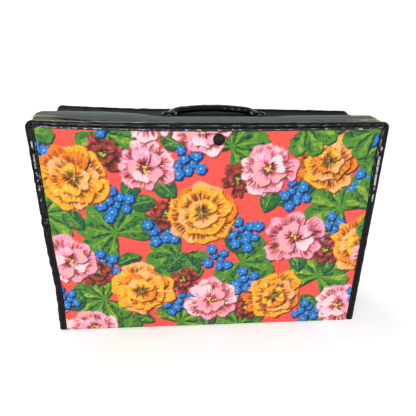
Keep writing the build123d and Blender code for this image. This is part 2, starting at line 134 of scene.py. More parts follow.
FACING_RISE = 1.6
FACING_DEPTH = 0.75
FACING_GAP = 0.05

# How the used case has settled; a pair says where a move starts and where it is full
SETTLE_FADE = (TOP - 70.0, TOP - 4.0)
SETTLE_FRONT = (25.0, 58.0)
SETTLE_BACK = (10.0, 60.0)
SETTLE_END_share = 0.35
RIM_SAG = 1.2
MOUTH_SAG = 2.6
ZIP_SAG = 2.4
ZIP_SAG_WIDTH = 6.0
ZIP_SAG_ENDS = (130.0, 222.0)
LEFT_LIFT = 2.2
BACK_LEFT_LIFT = 5.6
BACK_RIGHT_DROP = 2.6
GUSSET_SAG = 1.6
RIDGE_X = (-240.0, -205.0, -150.0, -95.0, -60.0, 0.0, 80.0, 130.0, 190.0, 240.0)
RIDGE_LIFT = (8.0, 8.0, 7.0, 4.2, 2.0, 1.4, 1.4, 2.0, 2.6, 2.4)
RIDGE_FRONT = -53.0
END_FRONT = -63.0
END_PLACES = (165.0, 225.0)
RIDGE_CREST = -38.0
CREST_WIDTH = 6.0
RIDGE_FOOT = 24.0
PLATE_FOOT = -22.5
PLATE_EASE = 45.0
PINCH = 3.0
PINCH_LEVEL = 80.0
PINCH_REACH = 52.0
PINCH_SIDE = (HALF - 50.0, HALF)
PINCH_FRONT = (58.0, 66.0)
GUSSET_FRONT = (-30.0, 5.0)
GUSSET_BACK = (-66.0, -30.0)
STIFF_REACH = (70.0, 130.0)


def smooth(value, low, high):
    """Eased step from 0 at low to 1 at high."""
    t = np.clip((value - low) / (high - low), 0, 1)
    return t * t * (3 - 2 * t)


def bell(value, middle, width):
    """Smooth bump of height 1."""
    return np.exp(-(((value - middle) / width) ** 2))


def run_along(points):
    """Length of a line from its first point to each point."""
    return np.r_[0, np.cumsum(np.linalg.norm(np.diff(points, axis=0), axis=1))]


def waves(a, b, size, seed):
    """Uneven smooth waves about that long over two coordinates, near -1 to 1."""
    rng = np.random.default_rng(seed)
    total = 0
    for _ in range(7):
        heading = rng.uniform(0, 2 * math.pi)
        rate = 2 * math.pi / size * rng.uniform(0.6, 1.5)
        along = a * math.cos(heading) + b * math.sin(heading)
        total = total + np.sin(rate * along + rng.uniform(0, 2 * math.pi))
    return total / 4


def ridge(x, y):
    """Height of the swell behind the zip; the handle's plate holds the top flat, so there it ends sooner."""
    crest = np.interp(x, RIDGE_X, RIDGE_LIFT)
    at_plate = 1 - smooth(np.abs(x - PLATE_X), PLATE_REACH, PLATE_REACH + PLATE_EASE)
    foot = RIDGE_FOOT + (PLATE_FOOT - RIDGE_FOOT) * at_plate
    front = RIDGE_FRONT + (END_FRONT - RIDGE_FRONT) * smooth(np.abs(x), *END_PLACES)
    return crest * smooth(y, front, RIDGE_CREST) * (1 - smooth(y, RIDGE_CREST + CREST_WIDTH, foot))


def settle(points):
    """Moves soft pieces the way the worn case has sagged, swollen and twisted."""
    x, y, z = points.T
    across = x / HALF
    sag = np.clip(1 - across * across, 0, 1)
    left = np.clip(-across - SETTLE_END_share, 0, 1) / (1 - SETTLE_END_share)
    right = np.clip(across - SETTLE_END_share, 0, 1) / (1 - SETTLE_END_share)
    to_front = smooth(-y, *SETTLE_FRONT)
    to_back = smooth(y, *SETTLE_BACK)
    zip_line = bell(y, ZIP_DEPTH, ZIP_SAG_WIDTH) * (1 - smooth(np.abs(x), *ZIP_SAG_ENDS))
    lift = -RIM_SAG * sag * to_front + LEFT_LIFT * left**2 * to_front
    lift = lift + (BACK_LEFT_LIFT * left**1.5 - BACK_RIGHT_DROP * right) * to_back
    lift = lift - ZIP_SAG * zip_line + ridge(x, y)
    pinch = PINCH * bell(z, PINCH_LEVEL, PINCH_REACH) * smooth(-x, *PINCH_SIDE) * smooth(-y, *PINCH_FRONT)
    return np.c_[x + pinch, y, z + lift * smooth(z, *SETTLE_FADE)]


def make_piece(name, points, faces, material, crease=40.0):
    """Mesh object from points in millimetres, shaded smooth but for sharp edges."""
    mesh = bpy.data.meshes.new(name)
    mesh.from_pydata((np.asarray(points) * MM).tolist(), [], faces)
    mesh.validate()
    shell = bmesh.new()
    shell.from_mesh(mesh)
    bmesh.ops.recalc_face_normals(shell, faces=shell.faces)
    shell.to_mesh(mesh)
    shell.free()
    mesh.polygons.foreach_set("use_smooth", [True] * len(mesh.polygons))
    mesh.set_sharp_from_angle(angle=math.radians(crease))
    mesh.materials.append(material)
    obj = bpy.data.objects.new(name, mesh)
    bpy.context.scene.collection.objects.link(obj)
    return obj


def dress(obj, body, slot, *nodes):
    """Puts a piece on its body and hides the nodes it stands for; the slot is not used."""
    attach(obj, body)
    if nodes:
        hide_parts(*nodes)
    return obj


# Materials


def linear(colour):
    """Screen colour, 0 to 255, as linear light with full alpha."""
    c = np.array(colour) / 255
    light = np.where(c <= 0.04045, c / 12.92, ((c + 0.055) / 1.055) ** 2.4)
    return (*light.tolist(), 1.0)


class NodeTree:
    """Small helper that adds nodes to a tree and wires them."""

    def __init__(self, tree):
        self.nodes, self.links = tree.nodes, tree.links

    def node(self, kind, inputs=(), **settings):
        made = self.nodes.new(kind)
        for key, value in settings.items():
            setattr(made, key, value)
        for key, value in dict(inputs).items():
            if isinstance(value, bpy.types.NodeSocket):
                self.links.new(value, made.inputs[key])
            else:
                made.inputs[key].default_value = value
        return made

    def maths(self, operation, a, b):
        return self.node("ShaderNodeMath", {0: a, 1: b}, operation=operation).outputs[0]

    def ramp(self, value, low, high, full=1.0, start=0.0):
        """Value from start up to full, spread over another range."""
        ends = {"From Min": start, "From Max": full, "To Min": low, "To Max": high}
        return self.node("ShaderNodeMapRange", {"Value": value, **ends}).outputs["Result"]

    def seen(self):
        """1 for rays from the camera, from gloss or through glass, and 0 for the rest."""
        path = self.node("ShaderNodeLightPath").outputs
        either = self.maths("MAXIMUM", path["Is Camera Ray"], path["Is Glossy Ray"])
        return self.maths("MAXIMUM", either, path["Is Transmission Ray"])


class Shader(NodeTree):
    """One procedural material."""

    def __init__(self, name, **sockets):
        self.material = bpy.data.materials.new(name)
        self.material.use_nodes = True
        super().__init__(self.material.node_tree)
        self.body = self.nodes["Principled BSDF"]
        for socket, value in sockets.items():
            self.body.inputs[socket.replace("_", " ")].default_value = value
        self.where = self.nodes.new("ShaderNodeTexCoord").outputs["Object"]

    def noise(self, scale, detail=3.0, stretch=(1, 1, 1)):
        placed = self.node("ShaderNodeMapping", {"Vector": self.where, "Scale": stretch}).outputs[0]
        made = self.node("ShaderNodeTexNoise", {"Vector": placed, "Scale": scale, "Detail": detail})
        return made.outputs["Fac"]

    def part(self, axis):
        """One coordinate of the place on the piece, in metres."""
        return self.node("ShaderNodeSeparateXYZ", {0: self.where}).outputs[axis]

    def bands(self, period_mm, direction, distortion=0.0):
        """Sine bands of that period across one direction."""
        scale = math.pi / 10 / (period_mm * MM)
        made = self.node(
            "ShaderNodeTexWave",
            {"Vector": self.where, "Scale": scale, "Distortion": distortion, "Detail": 1.0},
            wave_type="BANDS",
            bands_direction=direction,
        )
        return made.outputs["Fac"]

    def colours(self, factor, *stops):
        """Colour ramp through (place, colour) stops."""
        made = self.node("ShaderNodeValToRGB", {"Fac": factor})
        elements = made.color_ramp.elements
        while len(elements) < len(stops):
            elements.new(0.5)
        for element, (place, colour) in zip(elements, stops):
            element.position = place
            element.color = colour
        return made.outputs["Color"]

    def shade(self, colour, factor):
        """Colour multiplied by a grey factor."""
        made = self.node("ShaderNodeVectorMath", {0: colour}, operation="SCALE")
        self.links.new(factor, made.inputs["Scale"])
        return made.outputs[0]

    def bump(self, height, distance_mm):
        made = self.node("ShaderNodeBump", {"Height": height, "Strength": 1.0, "Distance": distance_mm * MM})
        previous = self.body.inputs["Normal"]
        if previous.is_linked:
            self.links.new(previous.links[0].from_socket, made.inputs["Normal"])
        self.links.new(made.outputs[0], previous)

    def feed(self, socket, source):
        self.links.new(source, self.body.inputs[socket])


def weave(shader, pitch, distance):
    """Plain weave relief: warp and weft bands that take turns; its height is also used for painted shade."""
    warp = shader.bands(pitch, "X", 0.6)
    weft = shader.bands(pitch, "Z", 0.6)
    depth = shader.bands(pitch, "Y", 0.6)
    crossing = shader.maths("ADD", shader.maths("ADD", warp, weft), depth)
    shader.bump(crossing, distance)
    return crossing


def print_cloth():
    """Printed cotton: colours from the mesh, broken up by slubs, with painted shade between the weave's
    raised threads and a visible weave relief.
    """
    shader = Shader("print_cloth", Roughness=0.82, Sheen_Weight=0.06, Specular_IOR_Level=0.28)
    painted = shader.node("ShaderNodeVertexColor", layer_name="print").outputs["Color"]
    crossing = weave(shader, 0.95, 0.12)
    slub = shader.noise(620.0, 2.0, (0.12, 1, 1))
    cross_slub = shader.noise(620.0, 2.0, (1, 1, 0.12))
    age = shader.noise(9.0, 3.0)
    tone = shader.maths("ADD", shader.ramp(slub, -0.24, 0.24), shader.ramp(cross_slub, -0.24, 0.24))
    tone = shader.maths("ADD", tone, shader.ramp(age, 0.94, 1.06))
    # Painted shade: lighter on the raised threads of the weave, darker in its hollows
    tone = shader.maths("ADD", tone, shader.ramp(crossing, -0.10, 0.10, 3.0))
    shader.feed("Base Color", shader.shade(painted, tone))
    return shader.material


# Where the top of the vinyl is rubbed dull, how much handling dulls it, and where the teeth leave the painted
# shade along the top and turn bright
DULL_LEVELS = (TOP - 28.0, TOP - 6.0)
HANDLED = 0.05
BRIGHT_TEETH = (178.0, 215.0)
TOP_SHADE_share = 0.13
METAL_SPREAD = 0.22


def patent_vinyl(name, gloss, level, relief_share, dull_top=0.0):
    """Black patent vinyl: clear gloss, fine grain and duller handled patches, and a top rubbed dull."""
    shader = Shader(name, Specular_IOR_Level=level)
    dust = shader.noise(60.0, 6.0)
    dark, worn, pale = (0.003, 0.003, 0.004, 1), (0.005, 0.005, 0.006, 1), (0.014, 0.014, 0.015, 1)
    shader.feed("Base Color", shader.colours(dust, (0.35, dark), (0.62, worn), (0.8, pale)))
    rough = shader.ramp(shader.noise(38.0, 4.0), gloss, gloss + HANDLED)
    if dull_top:
        rubbed = shader.ramp(shader.part("Z"), 0.0, dull_top, DULL_LEVELS[1] * MM, DULL_LEVELS[0] * MM)
        rough = shader.maths("ADD", rough, rubbed)
    shader.feed("Roughness", rough)
    shader.bump(shader.noise(1500.0, 2.0), 0.015 * relief_share)
    shader.bump(shader.noise(160.0, 3.0), 0.35 * relief_share)
    return shader.material


def zip_cloth(name, dark, light):
    """Grey zip tape with fine ribs along it, and painted shade in the hollows of its ribs and twill."""
    shader = Shader(name, Roughness=0.78, Sheen_Weight=0.10, Specular_IOR_Level=0.3)
    rib = shader.bands(1.5, "Y", 0.4)
    twill = shader.bands(0.9, "DIAGONAL", 0.5)
    worn = shader.noise(30.0, 4.0)
    # Painted shade: the rib and twill relief also darkens the colour in their hollows
    tone = shader.maths("ADD", shader.ramp(rib, 0.72, 1.1), shader.ramp(worn, -0.14, 0.16))
    base = shader.colours(twill, (0.0, dark), (1.0, light))
    shader.feed("Base Color", shader.shade(base, tone))
    shader.bump(rib, 0.18)
    shader.bump(twill, 0.05)
    return shader.material


def metal(name, bright, dark, roughness, shaded_top=False):
    """Worn plated metal, blotched and scratched; teeth carry painted shade along the top and are bright at
    the case's ends only.
    """
    shader = Shader(name, Metallic=1.0)
    tint = shader.colours(shader.noise(140.0, 5.0), (0.35, dark), (0.6, bright))
    if shaded_top:
        # Painted shade: teeth along the top are darkened, and reach full brightness only near the case's ends
        side = shader.maths("ABSOLUTE", shader.part("X"), 0.0)
        start, full = (place * MM for place in BRIGHT_TEETH)
        tint = shader.shade(tint, shader.ramp(side, TOP_SHADE_share, 1.0, full, start))
    shader.feed("Base Color", tint)
    shader.feed("Roughness", shader.ramp(shader.noise(300.0, 4.0), roughness, roughness + METAL_SPREAD))
    shader.bump(shader.noise(2200.0, 2.0, (1, 1, 0.08)), 0.02)
    return shader.material


def enamel():
    """Gloss black enamel, rubbed in patches."""
    shader = Shader("black_enamel", Specular_IOR_Level=0.10)
    rubbed = shader.noise(420.0, 5.0)
    tint = shader.colours(rubbed, (0.55, (0.003, 0.003, 0.0035, 1)), (0.85, (0.016, 0.015, 0.015, 1)))
    shader.feed("Base Color", tint)
    shader.feed("Roughness", shader.ramp(rubbed, 0.16, 0.34))
    shader.bump(shader.noise(900.0, 3.0), 0.015)
    return shader.material


def plain_cloth(name, dark, light, pitch):
    """Plain woven lining, with painted shade in the hollows of its weave."""
    shader = Shader(name, Roughness=0.85, Sheen_Weight=0.08, Specular_IOR_Level=0.25)
    crossing = weave(shader, pitch, 0.10)
    slub = shader.noise(520.0, 3.0, (0.15, 1, 1))
    # Painted shade: the weave's relief darkens the colour between the raised threads
    mixed = shader.maths("ADD", shader.ramp(slub, 0.0, 0.8), shader.ramp(crossing, 0.0, 0.2, 3.0))
    shader.feed("Base Color", shader.colours(mixed, (0.2, dark), (0.8, light)))
    return shader.material


def grey_board():
    """Pressed card with flecks."""
    shader = Shader("stiffener", Roughness=0.9, Specular_IOR_Level=0.2)
    fleck = shader.noise(480.0, 6.0)
    dark, light = (0.30, 0.24, 0.17, 1), (0.46, 0.38, 0.27, 1)
    shader.feed("Base Color", shader.colours(fleck, (0.3, dark), (0.7, light)))
    shader.bump(fleck, 0.08)
    return shader.material


def sewing_thread():
    """Twisted black thread, with painted shade in the hollows of its twist."""
    shader = Shader("thread", Roughness=0.55, Specular_IOR_Level=0.4)
    twist = shader.bands(0.5, "DIAGONAL", 0.3)
    dark, light = (0.010, 0.010, 0.011, 1), (0.04, 0.04, 0.043, 1)
    # Painted shade along the hollows of the twist
    shader.feed("Base Color", shader.colours(twist, (0.0, dark), (1.0, light)))
    shader.bump(twist, 0.06)
    return shader.material


PRINT = print_cloth()
VINYL_TRIM = patent_vinyl("patent_vinyl", 0.04, 0.11, 0.30)
VINYL_MOUTH = patent_vinyl("mouth_vinyl", 0.05, 0.30, 0.36)
VINYL_SIDE = patent_vinyl("gusset_vinyl", 0.18, 0.02, 0.5, 0.44)
TAPE = zip_cloth("zip_cloth", (0.075, 0.093, 0.094, 1), (0.105, 0.124, 0.125, 1))
TAPE_EDGE = zip_cloth("tape_edge", (0.20, 0.23, 0.23, 1), (0.30, 0.33, 0.33, 1))
BRASS = metal("brass", (0.66, 0.55, 0.34, 1), (0.40, 0.31, 0.17, 1), 0.28)
TEETH = metal("tooth_brass", (0.70, 0.59, 0.37, 1), (0.42, 0.33, 0.18, 1), 0.28, shaded_top=True)
STEEL = metal("steel", (0.52, 0.52, 0.53, 1), (0.34, 0.34, 0.35, 1), 0.30)
ENAMEL = enamel()
LINING = plain_cloth("lining_cloth", (0.44, 0.39, 0.32, 1), (0.62, 0.57, 0.48, 1), 0.8)
COVER = plain_cloth("cover_cloth", (0.70, 0.10, 0.085, 1), (0.86, 0.14, 0.11, 1), 0.95)
BOARD = grey_board()
THREAD = sewing_thread()


# Print: a generic floral on a coral ground

PRINT_COLOURS = {
    "ground": (238, 84, 74),
    "gold": (250, 172, 44),
    "amber": (232, 128, 34),
    "rust": (190, 84, 40),
    "honey": (254, 206, 104),
    "peach": (246, 176, 116),
    "umber": (112, 54, 34),
    "soot": (50, 30, 26),
    "pink": (240, 160, 186),
    "blush": (250, 206, 214),
    "rose": (222, 92, 104),
    "wine": (112, 36, 42),
    "maroon": (142, 60, 50),
    "leaf": (78, 132, 48),
    "lime": (134, 170, 52),
    "sun": (170, 190, 66),
    "pine": (36, 96, 56),
    "moss": (22, 54, 38),
    "blue": (34, 128, 214),
    "sky": (96, 176, 236),
    "navy": (24, 42, 92),
    "seed": (196, 200, 74),
}
COLOUR_NAMES = list(PRINT_COLOURS)
COLOUR_TABLE = np.array([linear(PRINT_COLOURS[name]) for name in COLOUR_NAMES])

# Tones of a petal, darkest first, and the rings of each flower: petals, reach and width as shares of its size
GOLD_TONES = (
    ("umber", "amber", "gold", "honey"),
    ("umber", "rust", "gold", "honey"),
    ("soot", "rust", "amber", "gold"),
    ("umber", "amber", "peach", "honey"),
)
PINK_TONES = (
    ("wine", "rose", "pink", "blush"),
    ("maroon", "rose", "blush", "blush"),
    ("umber", "rose", "pink", "peach"),
)
DARK_TONES = (
    ("soot", "wine", "maroon", "rose"),
    ("soot", "umber", "maroon", "rust"),
)
GOLD_rings_shares = ((7, 1.00, 0.92), (6, 0.74, 0.80), (5, 0.46, 0.54))
PINK_rings_shares = ((6, 1.00, 0.86), (5, 0.66, 0.64))
DARK_rings_shares = ((6, 1.00, 0.72), (5, 0.6, 0.5))
HEARTS = {
    "gold": ("soot", "umber", "leaf"),
    "pink": ("wine", "soot", "honey"),
    "dark": ("soot", "moss", "seed"),
}

# Where motifs sit: across and up as shares of one repeat, then size and turn
LOBED_LEAVES_shares = [
    (0.205, 0.53, 56, 2.2), (0.60, 0.36, 54, -0.4), (0.905, 0.63, 56, 2.6), (0.395, 0.40, 50, 4.0),
    (0.00, 0.63, 52, 0.5), (0.86, 0.27, 54, 1.2), (0.15, 0.17, 52, 3.4), (0.555, 0.93, 52, 0.9),
    (0.395, 0.02, 48, 0.3), (0.60, -0.01, 48, 2.0), (0.20, 0.99, 46, -0.6), (1.00, 0.93, 50, 3.6),
]
OVAL_LEAVES_shares = [
    (0.235, 0.70, 46, 0.9), (0.25, 0.66, 40, 0.2), (0.39, 0.70, 44, 2.4), (0.56, 0.74, 46, 0.6),
    (0.545, 0.52, 44, -0.9), (0.66, 0.62, 42, 1.3), (0.70, 0.66, 40, 0.6), (0.33, 0.50, 40, 1.9),
    (0.11, 0.55, 42, 2.2), (0.07, 0.24, 40, 4.2), (0.20, 0.36, 40, 0.4), (0.355, 0.32, 44, 0.8),
    (0.46, 0.31, 38, 2.2), (0.60, 0.17, 40, 3.6), (0.79, 0.30, 42, 1.6), (0.81, 0.16, 40, 5.6),
    (0.90, 0.40, 38, 4.4), (0.72, 0.94, 42, 0.3), (0.76, 0.70, 40, 1.0), (0.42, 0.93, 40, 2.6),
    (0.03, 0.93, 38, 5.2), (0.02, 0.12, 38, 0.6), (0.31, 0.03, 38, 2.8), (0.49, -0.02, 36, 1.4),
]
GOLD_FLOWERS_shares = [
    (0.10, 0.79, 48, 0.3), (0.47, 0.62, 54, 1.0), (0.845, 0.86, 45, 2.0), (0.27, 0.21, 50, 0.7),
    (0.715, 0.16, 48, 1.6), (0.985, 0.44, 46, 0.1),
]
PINK_FLOWERS_shares = [
    (0.305, 0.84, 41, 0.2), (0.665, 0.83, 42, 0.9), (0.055, 0.39, 45, 1.7), (0.50, 0.15, 42, 0.5),
    (0.765, 0.49, 46, 2.2), (0.945, 0.09, 41, 0.8), (0.105, 0.00, 39, 1.1),
]
DARK_FLOWERS_shares = [
    (0.19, 0.90, 27, 0.4), (0.575, 0.78, 27, 1.2), (0.36, 0.62, 25, 0.3), (0.135, 0.32, 26, 2.1),
    (0.62, 0.09, 25, 0.9), (0.875, 0.42, 27, 1.4), (0.41, 0.27, 24, 0.2),
]
BLUE_CLUSTERS_shares = [
    (0.205, 0.67, 9, 7.4), (0.355, 0.54, 10, 7.6), (0.60, 0.52, 11, 7.4), (0.885, 0.53, 8, 7.4),
    (0.165, 0.365, 8, 7.0), (0.385, 0.15, 9, 7.4), (0.62, 0.25, 8, 7.4), (0.83, 0.05, 9, 7.0),
    (0.755, 0.71, 8, 7.0), (0.43, 0.86, 8, 7.4), (0.005, 0.95, 7, 7.0), (0.96, 0.74, 8, 7.0),
    (0.02, 0.18, 8, 7.0), (0.52, 0.38, 7, 7.0),
]
REPEAT_WIDTH = 470.0
REPEAT_HEIGHT = 318.0
REPEAT_SHIFT_share = 0.37
MARK_WIDTH = 1.5
SHADOW_SHIFT = (1.8, -2.2)


def turned(points, angle, at=(0.0, 0.0)):
    """Points turned about the origin and moved."""
    c, s = math.cos(angle), math.sin(angle)
    return points @ np.array([[c, s], [-s, c]]) + np.asarray(at)


def polar(radius, angle):
    """Place at that distance and angle from the origin."""
    return np.array([radius * math.cos(angle), radius * math.sin(angle)])


def petal(length, width, notch_share, rng, count=22):
    """Petal outline from its base at the origin out along X, with a ruffled edge."""
    swing = np.linspace(0, 2 * np.pi, count, endpoint=False)
    out = 0.5 * (1 - np.cos(swing))
    tip = bell(swing, np.pi, 0.3)
    x = length * (out - notch_share * tip)
    y = 0.5 * width * np.sin(swing) * (0.40 + 0.85 * out)
    ruffle = 1 + 0.06 * np.sin(rng.integers(4, 7) * swing + rng.uniform(0, 6.28)) * out
    return np.c_[x * ruffle, y * ruffle]


def stroke(start, angle, length, width, bow_share=0.0, count=5):
    """Brush mark: a lens that tapers to both ends and bows to one side."""
    t = np.linspace(0, 1, count)
    half = 0.5 * width * np.sin(np.pi * t) ** 0.8
    bow = bow_share * length * np.sin(np.pi * t)
    upper = np.c_[length * t, bow + half]
    lower = np.c_[length * t, bow - half][::-1][1:-1]
    return turned(np.r_[upper, lower], angle, start)


def mark(start, angle, length, rng, boldness=1.0):
    """One stroke of a dry brush, with an uneven width and bend."""
    width = MARK_WIDTH * boldness * rng.uniform(0.6, 1.4)
    return stroke(start, angle + rng.uniform(-0.1, 0.1), length, width, rng.uniform(-0.07, 0.07))


def disc(radius, ragged_share, rng, count=12):
    """Round spot with an uneven edge."""
    swing = np.linspace(0, 2 * np.pi, count, endpoint=False)
    reach = radius * (1 + ragged_share * np.sin(5 * swing + rng.uniform(0, 6.28)))
    return np.c_[reach * np.cos(swing), reach * np.sin(swing)]


def painted_petal(angle, length, width, covered_share, tones, rng):
    """One petal: a shadow to one side, its body, lights near its edge and dark marks from its base."""
    deep, shade, body, light = tones
    outline = petal(length, width, rng.uniform(0, 0.14), rng)
    shapes = [(turned(outline, angle, SHADOW_SHIFT), deep), (turned(outline, angle), body)]
    spread = 0.60 * width / length
    count = int(6 + 0.45 * width)
    for tone, near_shares, reach_shares, turn in (
        (body, (0.70, 0.86), (0.10, 0.2), 0.0),
        (light, (0.78, 0.97), (0.16, 0.4), math.pi),
    ):
        for share in rng.uniform(-0.8, 0.8, count // 2):
            lean = angle + spread * share
            edge = polar(length * rng.uniform(*near_shares), lean)
            shapes.append((mark(edge, lean + turn, length * rng.uniform(*reach_shares), rng), tone))
    side = rng.choice([-1, 1])
    for tone, start_shares, reach_shares, skew_share, end_share, boldness in (
        (shade, (-0.15, 0.08), (0.18, 0.46), 0.4, 0.9, 1.2),
        (deep, (-0.2, 0.0), (0.12, 0.34), 0.7, 0.86, 1.0),
    ):
        for share in np.linspace(-1, 1, count):
            lean = angle + spread * (share + rng.uniform(-0.12, 0.12))
            start_share = covered_share + rng.uniform(*start_shares)
            skew = 1 + skew_share * side * share
            reach_share = min(rng.uniform(*reach_shares) * skew, end_share - start_share)
            start = polar(length * start_share, lean)
            shapes.append((mark(start, lean, length * reach_share, rng, boldness), tone))
    return shapes


def flower(size, turn, rings_shares, tones, heart, rng):
    """Full flower: rings of petals from the outside in, then its heart."""
    shapes = []
    inner_shares = [ring[1] for ring in rings_shares[1:]] + [0.12]
    for (count, reach_share, width_share), inner_share in zip(rings_shares, inner_shares):
        ring_turn = turn + rng.uniform(0, 1.5)
        covered_share = 0.86 * inner_share / reach_share
        for k in range(count):
            angle = ring_turn + 2 * math.pi * (k + rng.uniform(-0.2, 0.2)) / count
            length = size * reach_share * rng.uniform(0.82, 1.12)
            width = size * width_share * rng.uniform(0.82, 1.2)
            tone = tones[rng.integers(len(tones))]
            shapes += painted_petal(angle, length, width, covered_share, tone, rng)
    for k in range(26):
        lean = rng.uniform(0, 6.28)
        start = polar(size * rng.uniform(0.0, 0.10), lean)
        shapes.append((mark(start, lean, size * rng.uniform(0.10, 0.34), rng), heart[k % 2]))
    for _ in range(12):
        at = polar(size * rng.uniform(0.03, 0.18), rng.uniform(0, 6.28))
        shapes.append((mark(at, rng.uniform(0, 6.28), size * 0.09, rng, 1.3), heart[2]))
    return shapes


def lobed_leaf(size, turn, rng):
    """Broad leaf with rounded lobes, brushed dark on one side of each vein and light on the other."""
    lobes, spread = 7, 5.1
    swing = np.linspace(-spread / 2, spread / 2, 64)
    scallop = np.abs(np.sin(np.pi * lobes * (swing / spread + 0.5))) ** 0.5
    reach = size * (0.66 + 0.22 * scallop + 0.12 * np.cos(swing * 0.6)) * (1 + 0.02 * np.sin(23 * swing))
    outline = np.r_[np.c_[reach * np.cos(swing), reach * np.sin(swing)], [[-0.06 * size, 0.0]]]
    shapes = [(turned(outline, turn, SHADOW_SHIFT), "moss"), (turned(outline, turn), "leaf")]
    sunny = rng.uniform() < 0.5
    lights = ("lime", "lime", "sun") if sunny else ("leaf", "lime", "leaf")
    darks = ("pine", "leaf", "moss") if sunny else ("pine", "moss", "pine")
    for k in range(lobes):
        vein = turn + spread * (k + 0.5) / lobes - spread / 2
        fold = vein + spread / lobes / 2
        tip = np.interp(vein - turn, swing, reach)
        for _ in range(40):
            along = math.sqrt(rng.uniform(0.02, 0.62))
            side = rng.choice([-1, 1])
            start = polar(tip * along, vein + side * rng.uniform(0.0, 0.28))
            tone = (lights if side > 0 else darks)[rng.integers(3)]
            length = size * rng.uniform(0.07, 0.16)
            shapes.append((mark(start, vein + side * rng.uniform(0.3, 0.8), length, rng, 1.3), tone))
        for _ in range(8):
            start = polar(tip * rng.uniform(0.05, 0.5), fold + rng.uniform(-0.07, 0.07))
            shapes.append((mark(start, fold, tip * rng.uniform(0.12, 0.3), rng, 1.2), "moss"))
        shapes.append((stroke(polar(size * 0.05, vein), vein, tip * 0.72, MARK_WIDTH, 0.03, 7), "lime"))
    return shapes


def oval_leaf(length, turn, rng):
    """Rounded leaf brushed along its side veins, lighter on one half."""
    width = length * rng.uniform(0.58, 0.74)
    bow = rng.uniform(-0.08, 0.08)
    outline = stroke((0, 0), 0.0, length, width, bow, 14)
    shapes = [(turned(outline, turn, SHADOW_SHIFT), "moss"), (turned(outline, turn), "pine")]
    for _ in range(52):
        along = rng.uniform(0.08, 0.86)
        half = 0.5 * width * math.sin(math.pi * along) ** 0.8
        side = rng.choice([-1, 1])
        out = rng.uniform(0.0, 0.55) * half
        up = bow * length * math.sin(math.pi * along) + side * out
        at = turned(np.array([[length * along, up]]), turn)[0]
        tone = ("leaf", "leaf", "lime") if side > 0 else ("leaf", "moss", "moss")
        shapes.append((mark(at, turn + side * 0.7, 0.5 * half, rng), tone[rng.integers(3)]))
    shapes.append((stroke(polar(length * 0.04, turn), turn, length * 0.9, MARK_WIDTH, bow, 9), "lime"))
    return shapes


def blue_cluster(count, size, rng):
    """Cluster of small five-petalled flowers with dark gaps and pale eyes."""
    shapes = []
    for k in range(count):
        at = polar(size * 1.12 * math.sqrt(k + 0.2), 2.4 * k + rng.uniform(-0.3, 0.3))
        radius = size * rng.uniform(0.85, 1.15)
        spin = rng.uniform(0, 1.2)
        shapes.append((disc(radius * 1.12, 0.08, rng) + at + SHADOW_SHIFT, "navy"))
        shapes.append((disc(radius * 1.02, 0.10, rng) + at, "navy"))
        for j in range(5):
            lean = spin + 2 * math.pi * j / 5
            centre = at + polar(radius * 0.58, lean)
            shapes.append((disc(radius * rng.uniform(0.40, 0.47), 0.05, rng, 9) + centre, "blue"))
            shine = mark(centre, lean + rng.uniform(-1, 1), radius * 0.45, rng, 0.9)
            shapes.append((shine, "sky" if j % 2 else "blue"))
            shapes.append((mark(at + polar(radius * 0.15, lean), lean, radius * 0.5, rng, 0.6), "navy"))
        shapes.append((disc(radius * 0.2, 0.0, rng, 7) + at, "seed"))
    return shapes


def repeat_shapes(rng):
    """Every shape of one repeat, lowest first, with its lower left corner at the origin."""
    shapes = []

    def put(group, across_share, up_share):
        at = np.array([across_share * REPEAT_WIDTH, up_share * REPEAT_HEIGHT])
        shapes.extend((points + at, colour) for points, colour in group)

    for draw, spots in (
        (lobed_leaf, LOBED_LEAVES_shares),
        (oval_leaf, OVAL_LEAVES_shares),
        (blue_cluster, BLUE_CLUSTERS_shares),
    ):
        for across, up, *how in spots:
            put(draw(*how, rng), across, up)
    for spots, rings, tones, heart in (
        (DARK_FLOWERS_shares, DARK_rings_shares, DARK_TONES, "dark"),
        (GOLD_FLOWERS_shares, GOLD_rings_shares, GOLD_TONES, "gold"),
        (PINK_FLOWERS_shares, PINK_rings_shares, PINK_TONES, "pink"),
    ):
        for across, up, size, turn in spots:
            put(flower(size, turn, rings, tones, HEARTS[heart], rng), across, up)
    return shapes


def fill_shape(canvas, points, value, low, cell):
    """Fills one outline on the canvas with a value."""
    rows, columns = canvas.shape
    first = np.maximum(np.ceil((points.min(0) - low) / cell - 0.5).astype(int), 0)
    last = np.minimum(np.floor((points.max(0) - low) / cell - 0.5).astype(int), (columns - 1, rows - 1))
    if (last < first).any():
        return
    x = low[0] + (np.arange(first[0], last[0] + 1) + 0.5) * cell
    y = low[1] + (np.arange(first[1], last[1] + 1) + 0.5) * cell
    inside = np.zeros((len(y), len(x)), bool)
    for (x0, y0), (x1, y1) in zip(points, np.roll(points, -1, 0)):
        crosses = (y > y0) != (y > y1)
        if crosses.any():
            cut = x0 + (y - y0) * (x1 - x0) / (y1 - y0)
            inside ^= crosses[:, None] & (x[None, :] < cut[:, None])
    canvas[first[1]:last[1] + 1, first[0]:last[0] + 1][inside] = value


SHAPES = repeat_shapes(np.random.default_rng(7))


